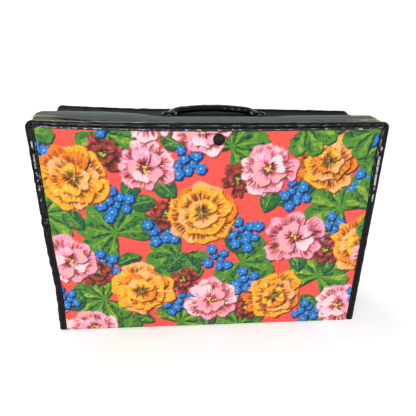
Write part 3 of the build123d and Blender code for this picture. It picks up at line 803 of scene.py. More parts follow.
def print_colours(columns, rows, cell, low):
    """Linear colour at each point of a regular grid over the print, averaged from a finer canvas."""
    finer = 2
    fine_cell = cell / finer
    canvas = np.zeros((rows * finer, columns * finer), int)
    corner = np.array(low) - cell / 2
    high = corner + np.array([columns, rows]) * cell
    for band in range(math.floor(corner[1] / REPEAT_HEIGHT) - 1, math.ceil(high[1] / REPEAT_HEIGHT) + 1):
        shift = (band * REPEAT_SHIFT_share) % 1.0
        for block in (-2, -1, 0, 1):
            at = np.array([(block + shift + 0.5) * REPEAT_WIDTH, band * REPEAT_HEIGHT])
            for points, colour in SHAPES:
                moved = points + at
                if (moved.max(0) > corner).all() and (moved.min(0) < high).all():
                    fill_shape(canvas, moved, COLOUR_NAMES.index(colour), corner, fine_cell)
    colours = COLOUR_TABLE[canvas]
    return colours.reshape(rows, finer, columns, finer, 4).mean((1, 3))


def grid_quads(index):
    """Faces between neighbouring rows and columns of point numbers."""
    return np.stack([index[:-1, :-1], index[:-1, 1:], index[1:, 1:], index[1:, :-1]], -1).reshape(-1, 4)


def sheet_back(index, edge_rows, side_columns):
    """Faces that close a sheet's face with its edges and a back of one long strip a row."""
    first, last = edge_rows
    left = [first[0], *side_columns[:, 0], last[0]]
    right = [first[-1], *side_columns[:, 1], last[-1]]
    faces = []
    for row, (a, b, c, d) in enumerate(zip(left, left[1:], right, right[1:])):
        faces.append([index[row, 0], index[row + 1, 0], b, a])
        faces.append([index[row, -1], c, d, index[row + 1, -1]])
        lower = list(first) if row == 0 else [a, c]
        upper = list(last[::-1]) if row == len(left) - 2 else [d, b]
        faces.append(lower + upper)
    for row, rear in ((0, first), (-1, last)):
        face = index[row]
        faces += [[face[k], face[k + 1], rear[k + 1], rear[k]] for k in range(len(face) - 1)]
    return faces


def cloth_sheet(name, half_width, span, cell, face_at, print_low):
    """Printed sheet: a fine painted face, and a plain back one cloth thickness behind it."""
    columns = int(round(2 * half_width / cell)) + 1
    rows = int(round((span[1] - span[0]) / cell)) + 1
    u, v = np.meshgrid(np.linspace(-half_width, half_width, columns), np.linspace(*span, rows))
    face = face_at(u.ravel(), v.ravel(), 0.0)
    ends = face_at(u[[0, -1]].ravel(), v[[0, -1]].ravel(), CLOTH)
    sides = face_at(u[1:-1, [0, -1]].ravel(), v[1:-1, [0, -1]].ravel(), CLOTH)
    index = np.arange(rows * columns).reshape(rows, columns)
    edge_rows = rows * columns + np.arange(2 * columns).reshape(2, columns)
    side_columns = edge_rows[-1, -1] + 1 + np.arange(len(sides)).reshape(-1, 2)
    faces = grid_quads(index).tolist()
    faces += sheet_back(index, edge_rows, side_columns)
    obj = make_piece(name, np.r_[face, ends, sides], faces, PRINT)
    colours = print_colours(columns, rows, cell, (-half_width, print_low))
    plain = np.tile(COLOUR_TABLE[0], (len(ends) + len(sides), 1))
    layer = obj.data.color_attributes.new("print", "FLOAT_COLOR", "POINT")
    layer.data.foreach_set("color", np.r_[colours.reshape(-1, 4), plain].astype(np.float32).ravel())
    return obj


# Printed cloth: cells of the print, the tuck behind the mouth's trim, and where the pocket is held flat
FRONT_CELL = 1.3
BASE_CELL = 1.6
MOUTH_TUCK = 2.2
SNAP_FLAT = (14.0, 70.0)
POCKET_EDGES = (10.0, 40.0)
POCKET_MOUTH = (5.0, 30.0)
FOOT_RATE = 4.0


def mouth_drop(x):
    """How far the pocket's mouth has sagged at that place across."""
    return MOUTH_SAG * np.clip(1 - (x / HALF) ** 2, 0, 1) ** 0.8


def pocket_face(u, v, behind):
    """Place on the pocket's cloth: a gently slack panel, flat round the snap."""
    low, high = POCKET_LOW[2], POCKET_HIGH[2]
    up = (v - low) / (high - low)
    z = v - mouth_drop(u) * up**3
    near_snap = np.hypot(u - SNAP_X, v - SNAP_Z)
    free = smooth(near_snap, *SNAP_FLAT) * np.clip(FOOT_RATE * up, 0, 1)
    free = free * smooth(HALF - np.abs(u), *POCKET_EDGES) * smooth(high - v, *POCKET_MOUTH)
    slack = 0.55 * waves(u, v, 150, 3) + 0.25 * waves(u, v, 60, 4)
    y = POCKET_LOW[1] + free * slack + behind
    return settle(np.c_[u, y, z])


def fold_face(u, v, behind):
    """Place on the hinge fold: a quarter turn from the bottom cover up to the pocket."""
    radius = FOLD_HIGH[1] - FOLD_LOW[1]
    angle = np.clip(v / radius, 0, math.pi / 2)
    reach = radius - behind
    return np.c_[u, FOLD_HIGH[1] - reach * np.sin(angle), FOLD_HIGH[2] - reach * np.cos(angle)]


def base_face(u, v, behind):
    """Place on the cover: along the bottom, round the heel and up the back. v grows from the fold."""
    flat = COVER_HIGH[1] - HEEL_RADIUS - COVER_LOW[1]
    bend = HEEL_RADIUS * math.pi / 2
    angle = np.clip((v - flat) / HEEL_RADIUS, 0, math.pi / 2)
    along = np.minimum(v, flat)
    climb = np.maximum(v - flat - bend, 0)
    reach = HEEL_RADIUS - behind
    y = COVER_LOW[1] + along + reach * np.sin(angle)
    z = HEEL_RADIUS - reach * np.cos(angle) + climb
    return np.c_[u, y, z]


def print_pieces():
    """Pocket, hinge fold and base cover, all cut from the same print."""
    width = POCKET_HIGH[0]
    pocket_span = (POCKET_LOW[2], POCKET_HIGH[2] - MOUTH_TUCK)
    pocket = cloth_sheet("pocket_cloth", width, pocket_span, FRONT_CELL, pocket_face, 0.0)
    dress(pocket, "lid", "print_cloth", "pocket_panel")

    fold_width = FOLD_HIGH[0]
    fold_length = (FOLD_HIGH[1] - FOLD_LOW[1]) * math.pi / 2
    fold = cloth_sheet("fold_cloth", fold_width, (0.0, fold_length), FRONT_CELL, fold_face, -fold_length)
    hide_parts("hinge_cloth")
    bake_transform(fold)

    flat = COVER_HIGH[1] - HEEL_RADIUS - COVER_LOW[1]
    length = flat + HEEL_RADIUS * math.pi / 2 + COVER_HIGH[2] - HEEL_RADIUS
    print_low = -fold_length - length
    base = cloth_sheet("base_cloth", COVER_HIGH[0], (0.0, length), BASE_CELL, base_face, print_low)
    dress(base, "case", "print_cloth", "base_cover")


# Trims carried round the rim


def rim_path(low):
    """Stations up the left side, over the top and down the right: place, outward normal, run."""
    side_top = TOP - CORNER_RADIUS
    reach = HALF - CORNER_RADIUS
    rise = np.linspace(low, side_top, max(int((side_top - low) / RIM_STEP), 2), endpoint=False)
    across = np.linspace(-reach, reach, int(2 * reach / RIM_STEP), endpoint=False)[1:]
    bend = np.linspace(0, math.pi / 2, CORNER_STEPS)
    left = np.c_[-np.cos(bend), np.sin(bend)]
    right = np.c_[np.sin(bend), np.cos(bend)]
    place = np.r_[
        np.c_[np.full_like(rise, -HALF), rise],
        left * CORNER_RADIUS + (-reach, side_top),
        np.c_[across, np.full_like(across, TOP)],
        right * CORNER_RADIUS + (reach, side_top),
        np.c_[np.full_like(rise, HALF), rise[::-1]],
    ]
    normal = np.r_[
        np.tile((-1.0, 0.0), (len(rise), 1)),
        left,
        np.tile((0.0, 1.0), (len(across), 1)),
        right,
        np.tile((1.0, 0.0), (len(rise), 1)),
    ]
    return place, normal, run_along(place)


def ring_faces(stations, corners):
    """Quads between closed rings of corners, with both ends capped."""
    index = np.arange(stations * corners).reshape(stations, corners)
    a, b = index[:-1], index[1:]
    quads = np.stack([a, np.roll(a, -1, 1), np.roll(b, -1, 1), b], -1).reshape(-1, 4).tolist()
    return quads + [index[0, ::-1].tolist(), index[-1].tolist()]


def rim_points(path, inset, depth):
    """Points at an inset from the outline and a depth across the case, for each station and corner."""
    place, normal, _ = path
    x = place[:, :1] - normal[:, :1] * inset
    z = place[:, 1:] - normal[:, 1:] * inset
    return np.stack([x, np.broadcast_to(depth, x.shape), z], -1).reshape(-1, 3)


def strip_width(path, side, top, drop=None):
    """Width of the face strip at each station: the side's, easing to the top's round the corner."""
    place, normal, _ = path
    at_top = smooth(normal[:, 1], 0.6, 1.0)
    sag = 0 if drop is None else drop(place[:, 0])
    slack = STRIP_SLACK * bell(place[:, 1], SLACK_LEVEL, SLACK_REACH) * (normal[:, 0] > 0.5)
    return side + slack + (top + sag - side - slack) * at_top


def trim_profile(width):
    """Corners of a trim round a rim: inset, depth, and which way a pucker pushes, per station."""
    ones = np.ones_like(width)
    turns = [(math.cos(a), math.sin(a)) for a in np.linspace(0, math.pi / 2, 6)]
    rear = BEAD_DEPTH - BEAD_ROUND
    puff = 0.5 * (width - STITCH_INSET + BEAD_ROUND)
    land = 0.25 * (width - STITCH_INSET - BEAD_ROUND)
    corners = [
        (width, VINYL - STRIP_LAP, 0, 0),
        (width, VINYL / 2, 0, 0),
        (width - 0.35, 0.12, 0, -0.4),
        (width - 1.0, 0.0, 0, -1),
        (width - STITCH_INSET, 0.14, 0, -0.5),
        (width - STITCH_INSET - 0.8, -0.05, 0, -1),
        (puff + 1.4 * land, -0.7 * STRIP_RISE, 0, -1),
        (puff + 0.8 * land, -STRIP_RISE, 0, -1),
        (puff + 0.6 * land, -STRIP_RISE, 0, -1),
        (puff - 0.6 * land, -STRIP_RISE, 0, -1),
        (puff - 0.8 * land, -STRIP_RISE, 0, -1),
        (puff - 1.4 * land, -0.6 * STRIP_RISE, 0, -1),
    ]
    corners += [(BEAD_ROUND * (1 - s), BEAD_ROUND * (1 - c), -s, -c) for c, s in turns]
    corners += [(0, BEAD_DEPTH / 2, -1, 0)]
    corners += [(BEAD_ROUND * (1 - c), rear + BEAD_ROUND * s, -c, s) for c, s in turns]
    corners += [
        (BEAD_HEIGHT, BEAD_DEPTH, 0, 0),
        (BEAD_HEIGHT, rear, 0, 0),
        (TRIM_LIP, rear, 0, 0),
        (TRIM_LIP, VINYL - STRIP_LAP, 0, 0),
    ]
    return np.stack([np.stack([ones * value for value in corner], -1) for corner in corners], 1)


def puckers(run, across, seed):
    """Gathers across a sewn strip: short waves along it that come and go."""
    short = waves(run, across * 0.2, 6.5, seed)
    longer = waves(run, across * 0.25, 19.0, seed + 1)
    patchy = smooth(waves(run, 0 * run, 55.0, seed + 2), -0.4, 0.9)
    return FINE_PUCKER * short * (0.3 + patchy) + BROAD_PUCKER * longer * (0.4 + patchy)


def rim_trim(name, face, inward, low, top_strip, seed, drop=None):
    """Binding with a round bead and a flat strip, gathered where it is sewn."""
    path = rim_path(low)
    width = strip_width(path, SIDE_STRIP, top_strip, drop)
    profile = trim_profile(width)
    run = path[2][:, None] + 0 * profile[..., 0]
    push = puckers(run, profile[..., 0] + profile[..., 1], seed)
    inset = profile[..., 0] + push * profile[..., 2]
    depth = face + inward * (profile[..., 1] + push * profile[..., 3])
    points = settle(rim_points(path, inset, depth))
    return make_piece(name, points, ring_faces(*inset.shape), VINYL_TRIM)


def rim_band(name, low, inset, depths, thickness, material, dent=None):
    """Flat band round the rim with a thickness; dent gives how far each place is pressed in."""
    path = rim_path(low)
    depths = np.asarray(depths)
    outer = np.tile(depths, (len(path[0]), 1))
    pressed = inset + (0 if dent is None else dent(path, outer))
    outer_inset = pressed + 0 * outer
    profile_inset = np.concatenate([outer_inset, outer_inset[:, ::-1] + thickness], 1)
    profile_depth = np.concatenate([outer, outer[:, ::-1]], 1)
    points = settle(rim_points(path, profile_inset, profile_depth))
    return make_piece(name, points, ring_faces(*profile_inset.shape), material)


def gusset_dent(path, depth):
    """Slack of the gusset: pressed in between the trims, stiff under the handle."""
    place, normal, run = path
    x = place[:, :1] + 0 * depth
    between = smooth(depth, *GUSSET_FRONT) * smooth(-depth, *GUSSET_BACK)
    at_top = normal[:, 1:] + 0 * depth
    free = smooth(np.abs(x - HANDLE_PIVOT[0]), *STIFF_REACH)
    dent = GUSSET_SAG * between * np.where(at_top > 0.5, free, 1.0)
    along = run[:, None] + 0 * depth
    ripple = 0.30 * waves(along, depth, 38, 21) + 0.14 * waves(along, depth, 14, 22)
    quiet = np.where(at_top > 0.5, np.maximum(free, 0.15), 1.0)
    return dent + np.abs(ripple) * between * quiet


def tape_fold(path, depth):
    """Rear part of the tape, laid double, stands a little proud of the front part."""
    return -TAPE_FOLD * (depth > TAPE_FOLD_AT)


def rim_pieces():
    """Lid and back trims, the lid's band, both tapes and the gusset."""
    lid_trim = rim_trim("lid_trim", FRONT, 1, HINGE_LEVEL, LID_TOP_STRIP, 31, mouth_drop)
    dress(lid_trim, "lid", "patent_vinyl", "lid_binding")
    back_trim = rim_trim("back_trim", BACK, -1, 0.0, BACK_TOP_STRIP, 41)
    dress(back_trim, "case", "patent_vinyl", "back_binding")

    band_depths = np.linspace(BAND_LOW[1], BAND_HIGH[1], 5)
    band = rim_band("lid_band", BAND_LOW[2], BEAD_HEIGHT, band_depths, VINYL, VINYL_TRIM)
    dress(band, "lid", "patent_vinyl", "lid_rim")

    tape_inset = HALF - TAPE_LID_HIGH[0]
    tape_thickness = BEAD_HEIGHT - tape_inset
    lid_depths = np.linspace(TAPE_LID_LOW[1], TAPE_LID_HIGH[1], 7)
    lid_tape = rim_band("lid_tape", TAPE_LID_LOW[2], tape_inset, lid_depths, tape_thickness, TAPE)
    dress(lid_tape, "lid", "zip_cloth", "zip_tape_lid")
    case_depths = np.r_[
        np.linspace(TAPE_CASE_LOW[1], TAPE_FOLD_AT, 7), np.linspace(TAPE_FOLD_AT + 0.6, TAPE_CASE_HIGH[1], 7)
    ]
    case_tape = rim_band(
        "case_tape", TAPE_CASE_LOW[2], tape_inset, case_depths, tape_thickness, TAPE, tape_fold,
    )
    dress(case_tape, "case", "zip_cloth", "zip_tape_case")
    tape_edge(tape_inset)

    gusset_depths = np.linspace(GUSSET_LOW[1], GUSSET_HIGH[1], 34)
    gusset = rim_band("gusset_skin", 0.0, BEAD_HEIGHT, gusset_depths, VINYL, VINYL_SIDE, gusset_dent)
    dress(gusset, "case", "patent_vinyl", "top_gusset", "left_gusset", "right_gusset")


def tape_edge(tape_inset):
    """Pale corded edge along the rear of the tape."""
    path = rim_path(TAPE_CASE_LOW[2])
    swing = np.linspace(0, 2 * math.pi, 10, endpoint=False)
    run = path[2][:, None] + 0 * swing
    push = 0.5 * puckers(run, swing, 45)
    inset = tape_inset - TAPE_FOLD - (HEM_RISE + push) * np.maximum(np.sin(swing), -0.3)
    depth = TAPE_CASE_HIGH[1] + HEM_WIDTH / 2 * np.cos(swing) + 0 * run
    points = settle(rim_points(path, inset, depth))
    hem = make_piece("tape_edge", points, ring_faces(*run.shape), TAPE_EDGE)
    return dress(hem, "case", "zip_cloth")


def mouth_trim():
    """Puckered vinyl strip over the pocket's upper edge."""
    reach = MOUTH_HIGH[0] + END_TUCK
    x = np.linspace(-reach, reach, int(2 * reach / MOUTH_CELL))
    height = MOUTH_HIGH[2] - MOUTH_LOW[2]
    rear = MOUTH_HIGH[1] - MOUTH_LOW[1]
    corners = [
        (0.0, VINYL, 0, 0),
        (0.0, 0.5, 0, 0),
        (0.35, 0.1, 0, -0.5),
        (1.3, 0.05, 0, -0.6),
        (0.30 * height, -MOUTH_PUFF, 0, -1),
        (0.35 * height, -MOUTH_PUFF, 0, -1),
        (0.63 * height, -MOUTH_PUFF, 0, -1),
        (0.68 * height, -MOUTH_PUFF, 0, -1),
        (0.82 * height, -0.05, 0.2, -0.8),
        (0.95 * height, 0.5, 0.6, -0.5),
        (height, 1.5, 0.6, 0),
        (0.93 * height, rear - 0.3, 0, 0),
        (0.6 * height, rear, 0, 0),
        (0.0, rear, 0, 0),
        (0.0, rear - MOUTH_LAP, 0, 0),
        (0.83 * height, rear - MOUTH_LAP, 0, 0),
        (0.83 * height, VINYL, 0, 0),
    ]
    table = np.array(corners)
    run = np.tile(x[:, None], (1, len(table)))
    push = 1.5 * puckers(run, 2 * table[None, :, 0], 51)
    z = MOUTH_LOW[2] + table[None, :, 0] + push * table[None, :, 2] - mouth_drop(run)
    tucked = 1.1 * smooth(np.abs(run), reach - 2 * END_TUCK, reach)
    y = MOUTH_LOW[1] + np.minimum(table[None, :, 1] + push * table[None, :, 3] + tucked, rear)
    points = settle(np.stack([run, y, z], -1).reshape(-1, 3))
    obj = make_piece("mouth_trim", points, ring_faces(*run.shape), VINYL_MOUTH)
    dress(obj, "lid", "patent_vinyl", "pocket_binding")


def mouth_facing():
    """Vinyl facing on the lid behind the pocket's mouth."""
    x = np.linspace(MOUTH_LOW[0], MOUTH_HIGH[0], int((MOUTH_HIGH[0] - MOUTH_LOW[0]) / FACING_CELL))
    foot = MOUTH_LOW[2] - FACING_DROP
    head = MOUTH_HIGH[2] + FACING_RISE
    corners = np.array([
        (foot, 0.25), (foot + 1, FACING_DEPTH), (head, FACING_DEPTH), (head, FACING_GAP), (foot, FACING_GAP),
    ])
    run = np.tile(x[:, None], (1, len(corners)))
    z = corners[None, :, 0] - mouth_drop(run) * smooth(TOP - corners[None, :, 0], 2, 8)
    y = box_mm("lid_cover")[0][1] - np.tile(corners[None, :, 1], (len(x), 1))
    points = settle(np.stack([run, y, z], -1).reshape(-1, 3))
    obj = make_piece("mouth_facing", points, ring_faces(*run.shape), VINYL_TRIM)
    dress(obj, "lid", "patent_vinyl")


def base_trims():
    """Short bindings along the bottom of each side."""
    for side, hand in ((-1, "left"), (1, "right")):
        node = f"base_binding_{hand}"
        low, high = box_mm(node)
        y = np.linspace(low[1], high[1], 45)
        thickness = high[0] - low[0]
        height = high[2] - low[2]
        corners = np.array([
            (0.0, 0.0, 0), (thickness - 0.8, 0.0, 0), (thickness - 0.15, 0.5, 0.5), (thickness, 1.4, 1),
            (thickness + 0.15, height * 0.5, 1), (thickness, height - 1.6, 1),
            (thickness - 0.3, height - 0.6, 0.5), (thickness - 0.9, height, 0), (0.0, height, 0),
        ])
        run = np.tile(y[:, None], (1, len(corners)))
        out = corners[None, :, 0] + puckers(run, corners[None, :, 1], 61 + side) * corners[None, :, 2]
        inner = high[0] if side < 0 else low[0]
        x = inner + side * out
        z = low[2] + np.tile(corners[None, :, 1], (len(y), 1))
        points = np.stack([x, run, z], -1).reshape(-1, 3)
        obj = make_piece(f"base_trim_{hand}", points, ring_faces(*run.shape), VINYL_TRIM)
        dress(obj, "case", "patent_vinyl", node)


# Zip teeth


def scattered(points, faces, frames):
    """One small shape copied to many frames: (place, three axes) each."""
    every_point, every_face = [], []
    for count, (place, axes) in enumerate(frames):
        every_point.append(points @ axes + place)
        every_face += [[i + count * len(points) for i in face] for face in faces]
    return np.concatenate(every_point), every_face


def along_rim(low, start, end_gap, pitch, inset, depth):
    """Frames spaced along the rim: X runs along it, Y across the case, Z outwards."""
    place, normal, run = rim_path(low)
    spots = np.arange(start, run[-1] - end_gap, pitch)
    x = np.interp(spots, run, place[:, 0])
    z = np.interp(spots, run, place[:, 1])
    nx = np.interp(spots, run, normal[:, 0])
    nz = np.interp(spots, run, normal[:, 1])
    length = np.hypot(nx, nz)
    nx, nz = nx / length, nz / length
    at = settle(np.c_[x - nx * inset, np.full_like(x, depth), z - nz * inset])
    zero = np.zeros_like(nx)
    tangent = np.c_[nz, zero, -nx]
    outward = np.c_[nx, zero, nz]
    across = np.tile((0.0, 1.0, 0.0), (len(at), 1))
    return [(p, np.stack([t, a, o])) for p, t, a, o in zip(at, tangent, across, outward)]


TOOTH_PITCH = 2.7
TOOTH_WIDTH = 1.35
TOOTH_HEIGHT = 2.4
TOOTH_BEVEL = 0.3
TOOTH_LAP = 0.4


def tooth_shape(reach):
    """One tooth: a bevelled bar that swells into a head at its far end (along Y)."""
    half, rise, b = TOOTH_WIDTH / 2, TOOTH_HEIGHT / 2, TOOTH_BEVEL
    ring = np.array([
        (-half + b, -rise), (half - b, -rise), (half, -rise + b), (half, rise - b),
        (half - b, rise), (-half + b, rise), (-half, rise - b), (-half, -rise + b),
    ])
    stations = [(0.0, 0.72), (0.45 * reach, 0.78), (0.7 * reach, 1.0), (0.9 * reach, 0.96), (reach, 0.66)]
    sections = [np.c_[ring[:, 0] * grow, np.full(len(ring), y), ring[:, 1] * grow] for y, grow in stations]
    return np.concatenate(sections), ring_faces(len(stations), len(ring))


def zip_pieces():
    """Both rows of teeth, meshed alternately at the zip line."""
    inset = HALF - TEETH_LID_HIGH[0] + TOOTH_HEIGHT / 2
    for name, body, node, edge, tip, start_share in (
        ("lid_teeth", "lid", "zip_teeth_lid", TEETH_LID_LOW[1], TEETH_LID_HIGH[1], 0.5),
        ("case_teeth", "case", "zip_teeth_case", TEETH_CASE_HIGH[1], TEETH_CASE_LOW[1], 1.0),
    ):
        points, faces = tooth_shape(abs(tip - edge) + TOOTH_LAP)
        points[:, 1] *= 1 if tip > edge else -1
        start = TOOTH_PITCH * start_share
        frames = along_rim(TEETH_LID_LOW[2], start, TOOTH_WIDTH, TOOTH_PITCH, inset, edge)
        every_point, every_face = scattered(points, faces, frames)
        dress(make_piece(name, every_point, every_face, TEETH), body, "brass", node)


# Stitches


STITCH_LENGTH = 2.3
STITCH_PITCH = 3.4
STITCH_RADIUS = 0.32
STITCH_SIDES = 6
STITCH_SINK = 0.1
MOUTH_STITCH_RISE = 1.3


def stitch_shape():
    """One stitch along X: a short bent spindle that dips into the cloth at both ends."""
    swing = np.linspace(0, 2 * np.pi, STITCH_SIDES, endpoint=False)
    stations = ((-0.5, 0.45, -0.3), (-0.25, 1.0, 0.06), (0.25, 1.0, 0.06), (0.5, 0.45, -0.3))
    rings = [
        np.c_[
            np.full(STITCH_SIDES, along * STITCH_LENGTH),
            STITCH_RADIUS * grow * np.cos(swing),
            STITCH_RADIUS * grow * np.sin(swing) + lift,
        ]
        for along, grow, lift in stations
    ]
    return np.concatenate(rings), ring_faces(len(stations), STITCH_SIDES)


def sewn(name, frames, body):
    """One row of stitches as a piece."""
    points, faces = stitch_shape()
    every_point, every_face = scattered(points, faces, frames)
    return dress(make_piece(name, every_point, every_face, THREAD), body, "patent_vinyl")


def face_frames(path, inset, depth, outward):
    """Stitch frames on a face strip: X along the rim, Z out of the face."""
    place, normal, run = path
    spots = np.arange(STITCH_PITCH, run[-1] - STITCH_PITCH, STITCH_PITCH)
    frames = []
    for spot in spots:
        k = min(int(np.searchsorted(run, spot)), len(run) - 1)
        n = normal[k]
        gap = inset[k]
        at = settle(np.array([[place[k, 0] - n[0] * gap, depth, place[k, 1] - n[1] * gap]]))[0]
        tangent = np.array([n[1], 0.0, -n[0]])
        out = np.array([0.0, outward, 0.0])
        frames.append((at, np.stack([tangent, np.cross(out, tangent), out])))
    return frames


def stitch_pieces():
    """Rows of stitches on the trims, the pocket's mouth and the case's tape."""
    for name, body, low, top, face, outward, drop in (
        ("lid_stitches", "lid", HINGE_LEVEL, LID_TOP_STRIP, FRONT, -1.0, mouth_drop),
        ("back_stitches", "case", 0.0, BACK_TOP_STRIP, BACK, 1.0, None),
    ):
        path = rim_path(low)
        inset = strip_width(path, SIDE_STRIP, top, drop) - STITCH_INSET
        sewn(name, face_frames(path, inset, face, outward), body)
    tape_inset = HALF - TAPE_LID_HIGH[0]
    rear = TAPE_CASE_HIGH[1] - HEM_WIDTH / 2 - STITCH_INSET
    level = tape_inset - TAPE_FOLD
    frames = along_rim(TAPE_CASE_LOW[2], STITCH_PITCH, STITCH_PITCH, STITCH_PITCH, level, rear)
    sewn("tape_stitches", frames, "case")
    x = np.arange(MOUTH_LOW[0] + STITCH_PITCH, MOUTH_HIGH[0], STITCH_PITCH)
    z = MOUTH_LOW[2] + MOUTH_STITCH_RISE - mouth_drop(x)
    spots = settle(np.c_[x, np.full_like(x, MOUTH_LOW[1] + STITCH_SINK), z])
    axes = np.array([(1.0, 0.0, 0.0), (0.0, 0.0, 1.0), (0.0, -1.0, 0.0)])
    sewn("mouth_stitches", [(spot, axes) for spot in spots], "lid")


# Handle


HANDLE_SPAN = 131.0
HANDLE_RISE = 37.5
SHOULDER_RISE = 29.0
SHOULDER_BEND = 20.0
CROWN_BEND = 195.0
HANDLE_SPLAY = 7.0
HANDLE_LEAN = math.radians(8.0)
RING_RISE = 13.0
GRIP_WIDTH = 12.5
GRIP_THICKNESS = 10.0
GRIP_END_THICKNESS = 7.0
GRIP_BOW = 1.9
GRIP_STITCH_START = 8.0
GRIP_STITCH_INSET = 1.6


def rounded(corners, radii):
    """Polyline with an arc at each inner corner."""
    points = [corners[0]]
    for before, corner, after, radius in zip(corners, corners[1:], corners[2:], radii):
        back = (before - corner) / np.linalg.norm(before - corner)
        ahead = (after - corner) / np.linalg.norm(after - corner)
        half_turn = (math.pi - math.acos(float(back @ ahead))) / 2
        start, end = (corner + way * radius * math.tan(half_turn) for way in (back, ahead))
        middle = corner + (back + ahead) / np.linalg.norm(back + ahead) * radius / math.cos(half_turn)
        for share in np.linspace(0, 1, 14):
            spoke = (1 - share) * (start - middle) + share * (end - middle)
            points.append(middle + spoke * radius / np.linalg.norm(spoke))
    return np.array([*points, corners[-1]])


def handle_line(count=110):
    """Middle line of the arch in its own plane, ring to ring, with round shoulders and a bowed top."""
    foot = HANDLE_SPAN / 2
    right = [(foot - HANDLE_SPLAY, SHOULDER_RISE), (foot, RING_RISE)]
    corners = np.array([(-x, y) for x, y in right[::-1]] + [(0.0, HANDLE_RISE)] + right)
    whole = rounded(corners, (SHOULDER_BEND, CROWN_BEND, SHOULDER_BEND))
    run = run_along(whole)
    even = np.linspace(0, run[-1], count)
    return np.c_[np.interp(even, run, whole[:, 0]), np.interp(even, run, whole[:, 1])]


def lean_back(points, pivot, bow=0.0):
    """From the handle's own plane (across, rise, depth) to the case, raised in the middle by the bow."""
    c, s = math.cos(HANDLE_LEAN), math.sin(HANDLE_LEAN)
    a, b, d = points.T
    raised = d + bow * (0.6 - 1.6 * np.clip(np.abs(2 * a / HANDLE_SPAN), 0, 1) ** 2)
    return np.c_[pivot[0] + a, pivot[1] + b * c - raised * s, pivot[2] + b * s + raised * c]


def grip_pad(pivot):
    """Stuffed vinyl grip with a seam along its inner edge, thinned where it goes round the rings."""
    line = handle_line()
    tangent = np.gradient(line, axis=0)
    tangent /= np.linalg.norm(tangent, axis=1)[:, None]
    side = np.c_[-tangent[:, 1], tangent[:, 0]]
    run = run_along(line)
    ends = np.minimum(run, run[-1] - run)
    swing = np.linspace(0, 2 * np.pi, 28, endpoint=False)
    round_x = np.sign(np.cos(swing)) * np.abs(np.cos(swing)) ** 0.8
    round_y = np.sign(np.sin(swing)) * np.abs(np.sin(swing)) ** 0.8
    seam = bell(swing, np.pi, 0.16)
    points = []
    for k in range(len(line)):
        full = float(smooth(ends[k], 4, 22))
        tip = 0.55 + 0.45 * float(smooth(ends[k], -0.5, 3.5))
        thick = (GRIP_END_THICKNESS + (GRIP_THICKNESS - GRIP_END_THICKNESS) * full) / 2 * tip
        wide = GRIP_WIDTH / 2 * (0.92 + 0.08 * full)
        crease = 0.22 * waves(np.full_like(swing, run[k]), swing * 4, 9.0, 71) * full
        reach = wide * round_x - 0.9 * seam + crease * round_x
        depth = thick * round_y + crease * round_y
        flat = line[k] + reach[:, None] * side[k]
        points.append(np.c_[flat, depth])
    placed = lean_back(np.concatenate(points), pivot, GRIP_BOW)
    obj = make_piece("grip_pad", placed, ring_faces(len(points), len(swing)), VINYL_TRIM)
    dress(obj, "handle", "patent_vinyl", "handle_grip")
    grip_stitches(line, tangent, side, run, pivot)


def grip_stitches(line, tangent, side, run, pivot):
    """A row of stitches on each face of the grip, by its inner edge."""
    frames = []
    for spot in np.arange(GRIP_STITCH_START, run[-1] - GRIP_STITCH_START, STITCH_PITCH):
        k = int(np.searchsorted(run, spot))
        inner = line[k] - side[k] * (GRIP_WIDTH / 2 - GRIP_STITCH_INSET)
        for face in (-1, 1):
            level = face * GRIP_THICKNESS / 2 * 0.60
            at = lean_back(np.array([[*inner, level]]), pivot, GRIP_BOW)[0]
            ahead = np.array([*tangent[k], 0.0])
            out = np.array([*(-0.5 * side[k]), face * 0.85])
            axes = np.stack([ahead, np.cross(out, ahead), out])
            frames.append((at, lean_back(axes, (0, 0, 0))))
    sewn("grip_stitches", frames, "handle")


# Lining, seen when the lid is open


LINING_THICKNESS = 0.6
LINING_REAR = 0.55
LINING_CELL = 6.0
COVER_SETBACK = 0.3


def lining_sheet(name, body, node, across, along, face_at, material=LINING, slot="lining_cloth"):
    """Lining cloth: slack between its glued edges, with a thickness."""
    columns = int((across[1] - across[0]) / LINING_CELL) + 1
    rows = int((along[1] - along[0]) / LINING_CELL) + 1
    u, v = np.meshgrid(np.linspace(*across, columns), np.linspace(*along, rows))
    edge = np.minimum(np.minimum(u - across[0], across[1] - u), np.minimum(v - along[0], along[1] - v))
    slack = smooth(edge, 2, 40) * (0.28 + 0.25 * waves(u, v, 70, 81) + 0.1 * waves(u, v, 26, 82))
    face = face_at(u.ravel(), v.ravel(), slack.ravel())
    rear = face_at(u.ravel(), v.ravel(), np.full(u.size, -LINING_REAR))
    index = np.arange(rows * columns).reshape(rows, columns)
    quads = grid_quads(index)
    loop = np.r_[index[0, :-1], index[:-1, -1], index[-1, :0:-1], index[:0:-1, 0]]
    shift = rows * columns
    rim = [[a, b, b + shift, a + shift] for a, b in zip(loop, np.roll(loop, -1))]
    faces = quads.tolist() + (quads[:, ::-1] + shift).tolist() + rim
    obj = make_piece(name, np.r_[face, rear], faces, material)
    dress(obj, body, slot, node)


def inside_outline(u, v, inset):
    """Pulls points that would pass the rim's rounded corners back onto them."""
    radius = CORNER_RADIUS - inset
    centre_x = HALF - CORNER_RADIUS
    centre_z = TOP - CORNER_RADIUS
    past_x = np.maximum(np.abs(u) - centre_x, 0)
    past_z = np.maximum(v - centre_z, 0)
    far = np.hypot(past_x, past_z)
    keep = np.where(far > radius, radius / np.maximum(far, 1e-6), 1.0)
    x = np.where(past_x * past_z > 0, np.sign(u) * (centre_x + past_x * keep), u)
    z = np.where(past_x * past_z > 0, centre_z + past_z * keep, v)
    return x, z


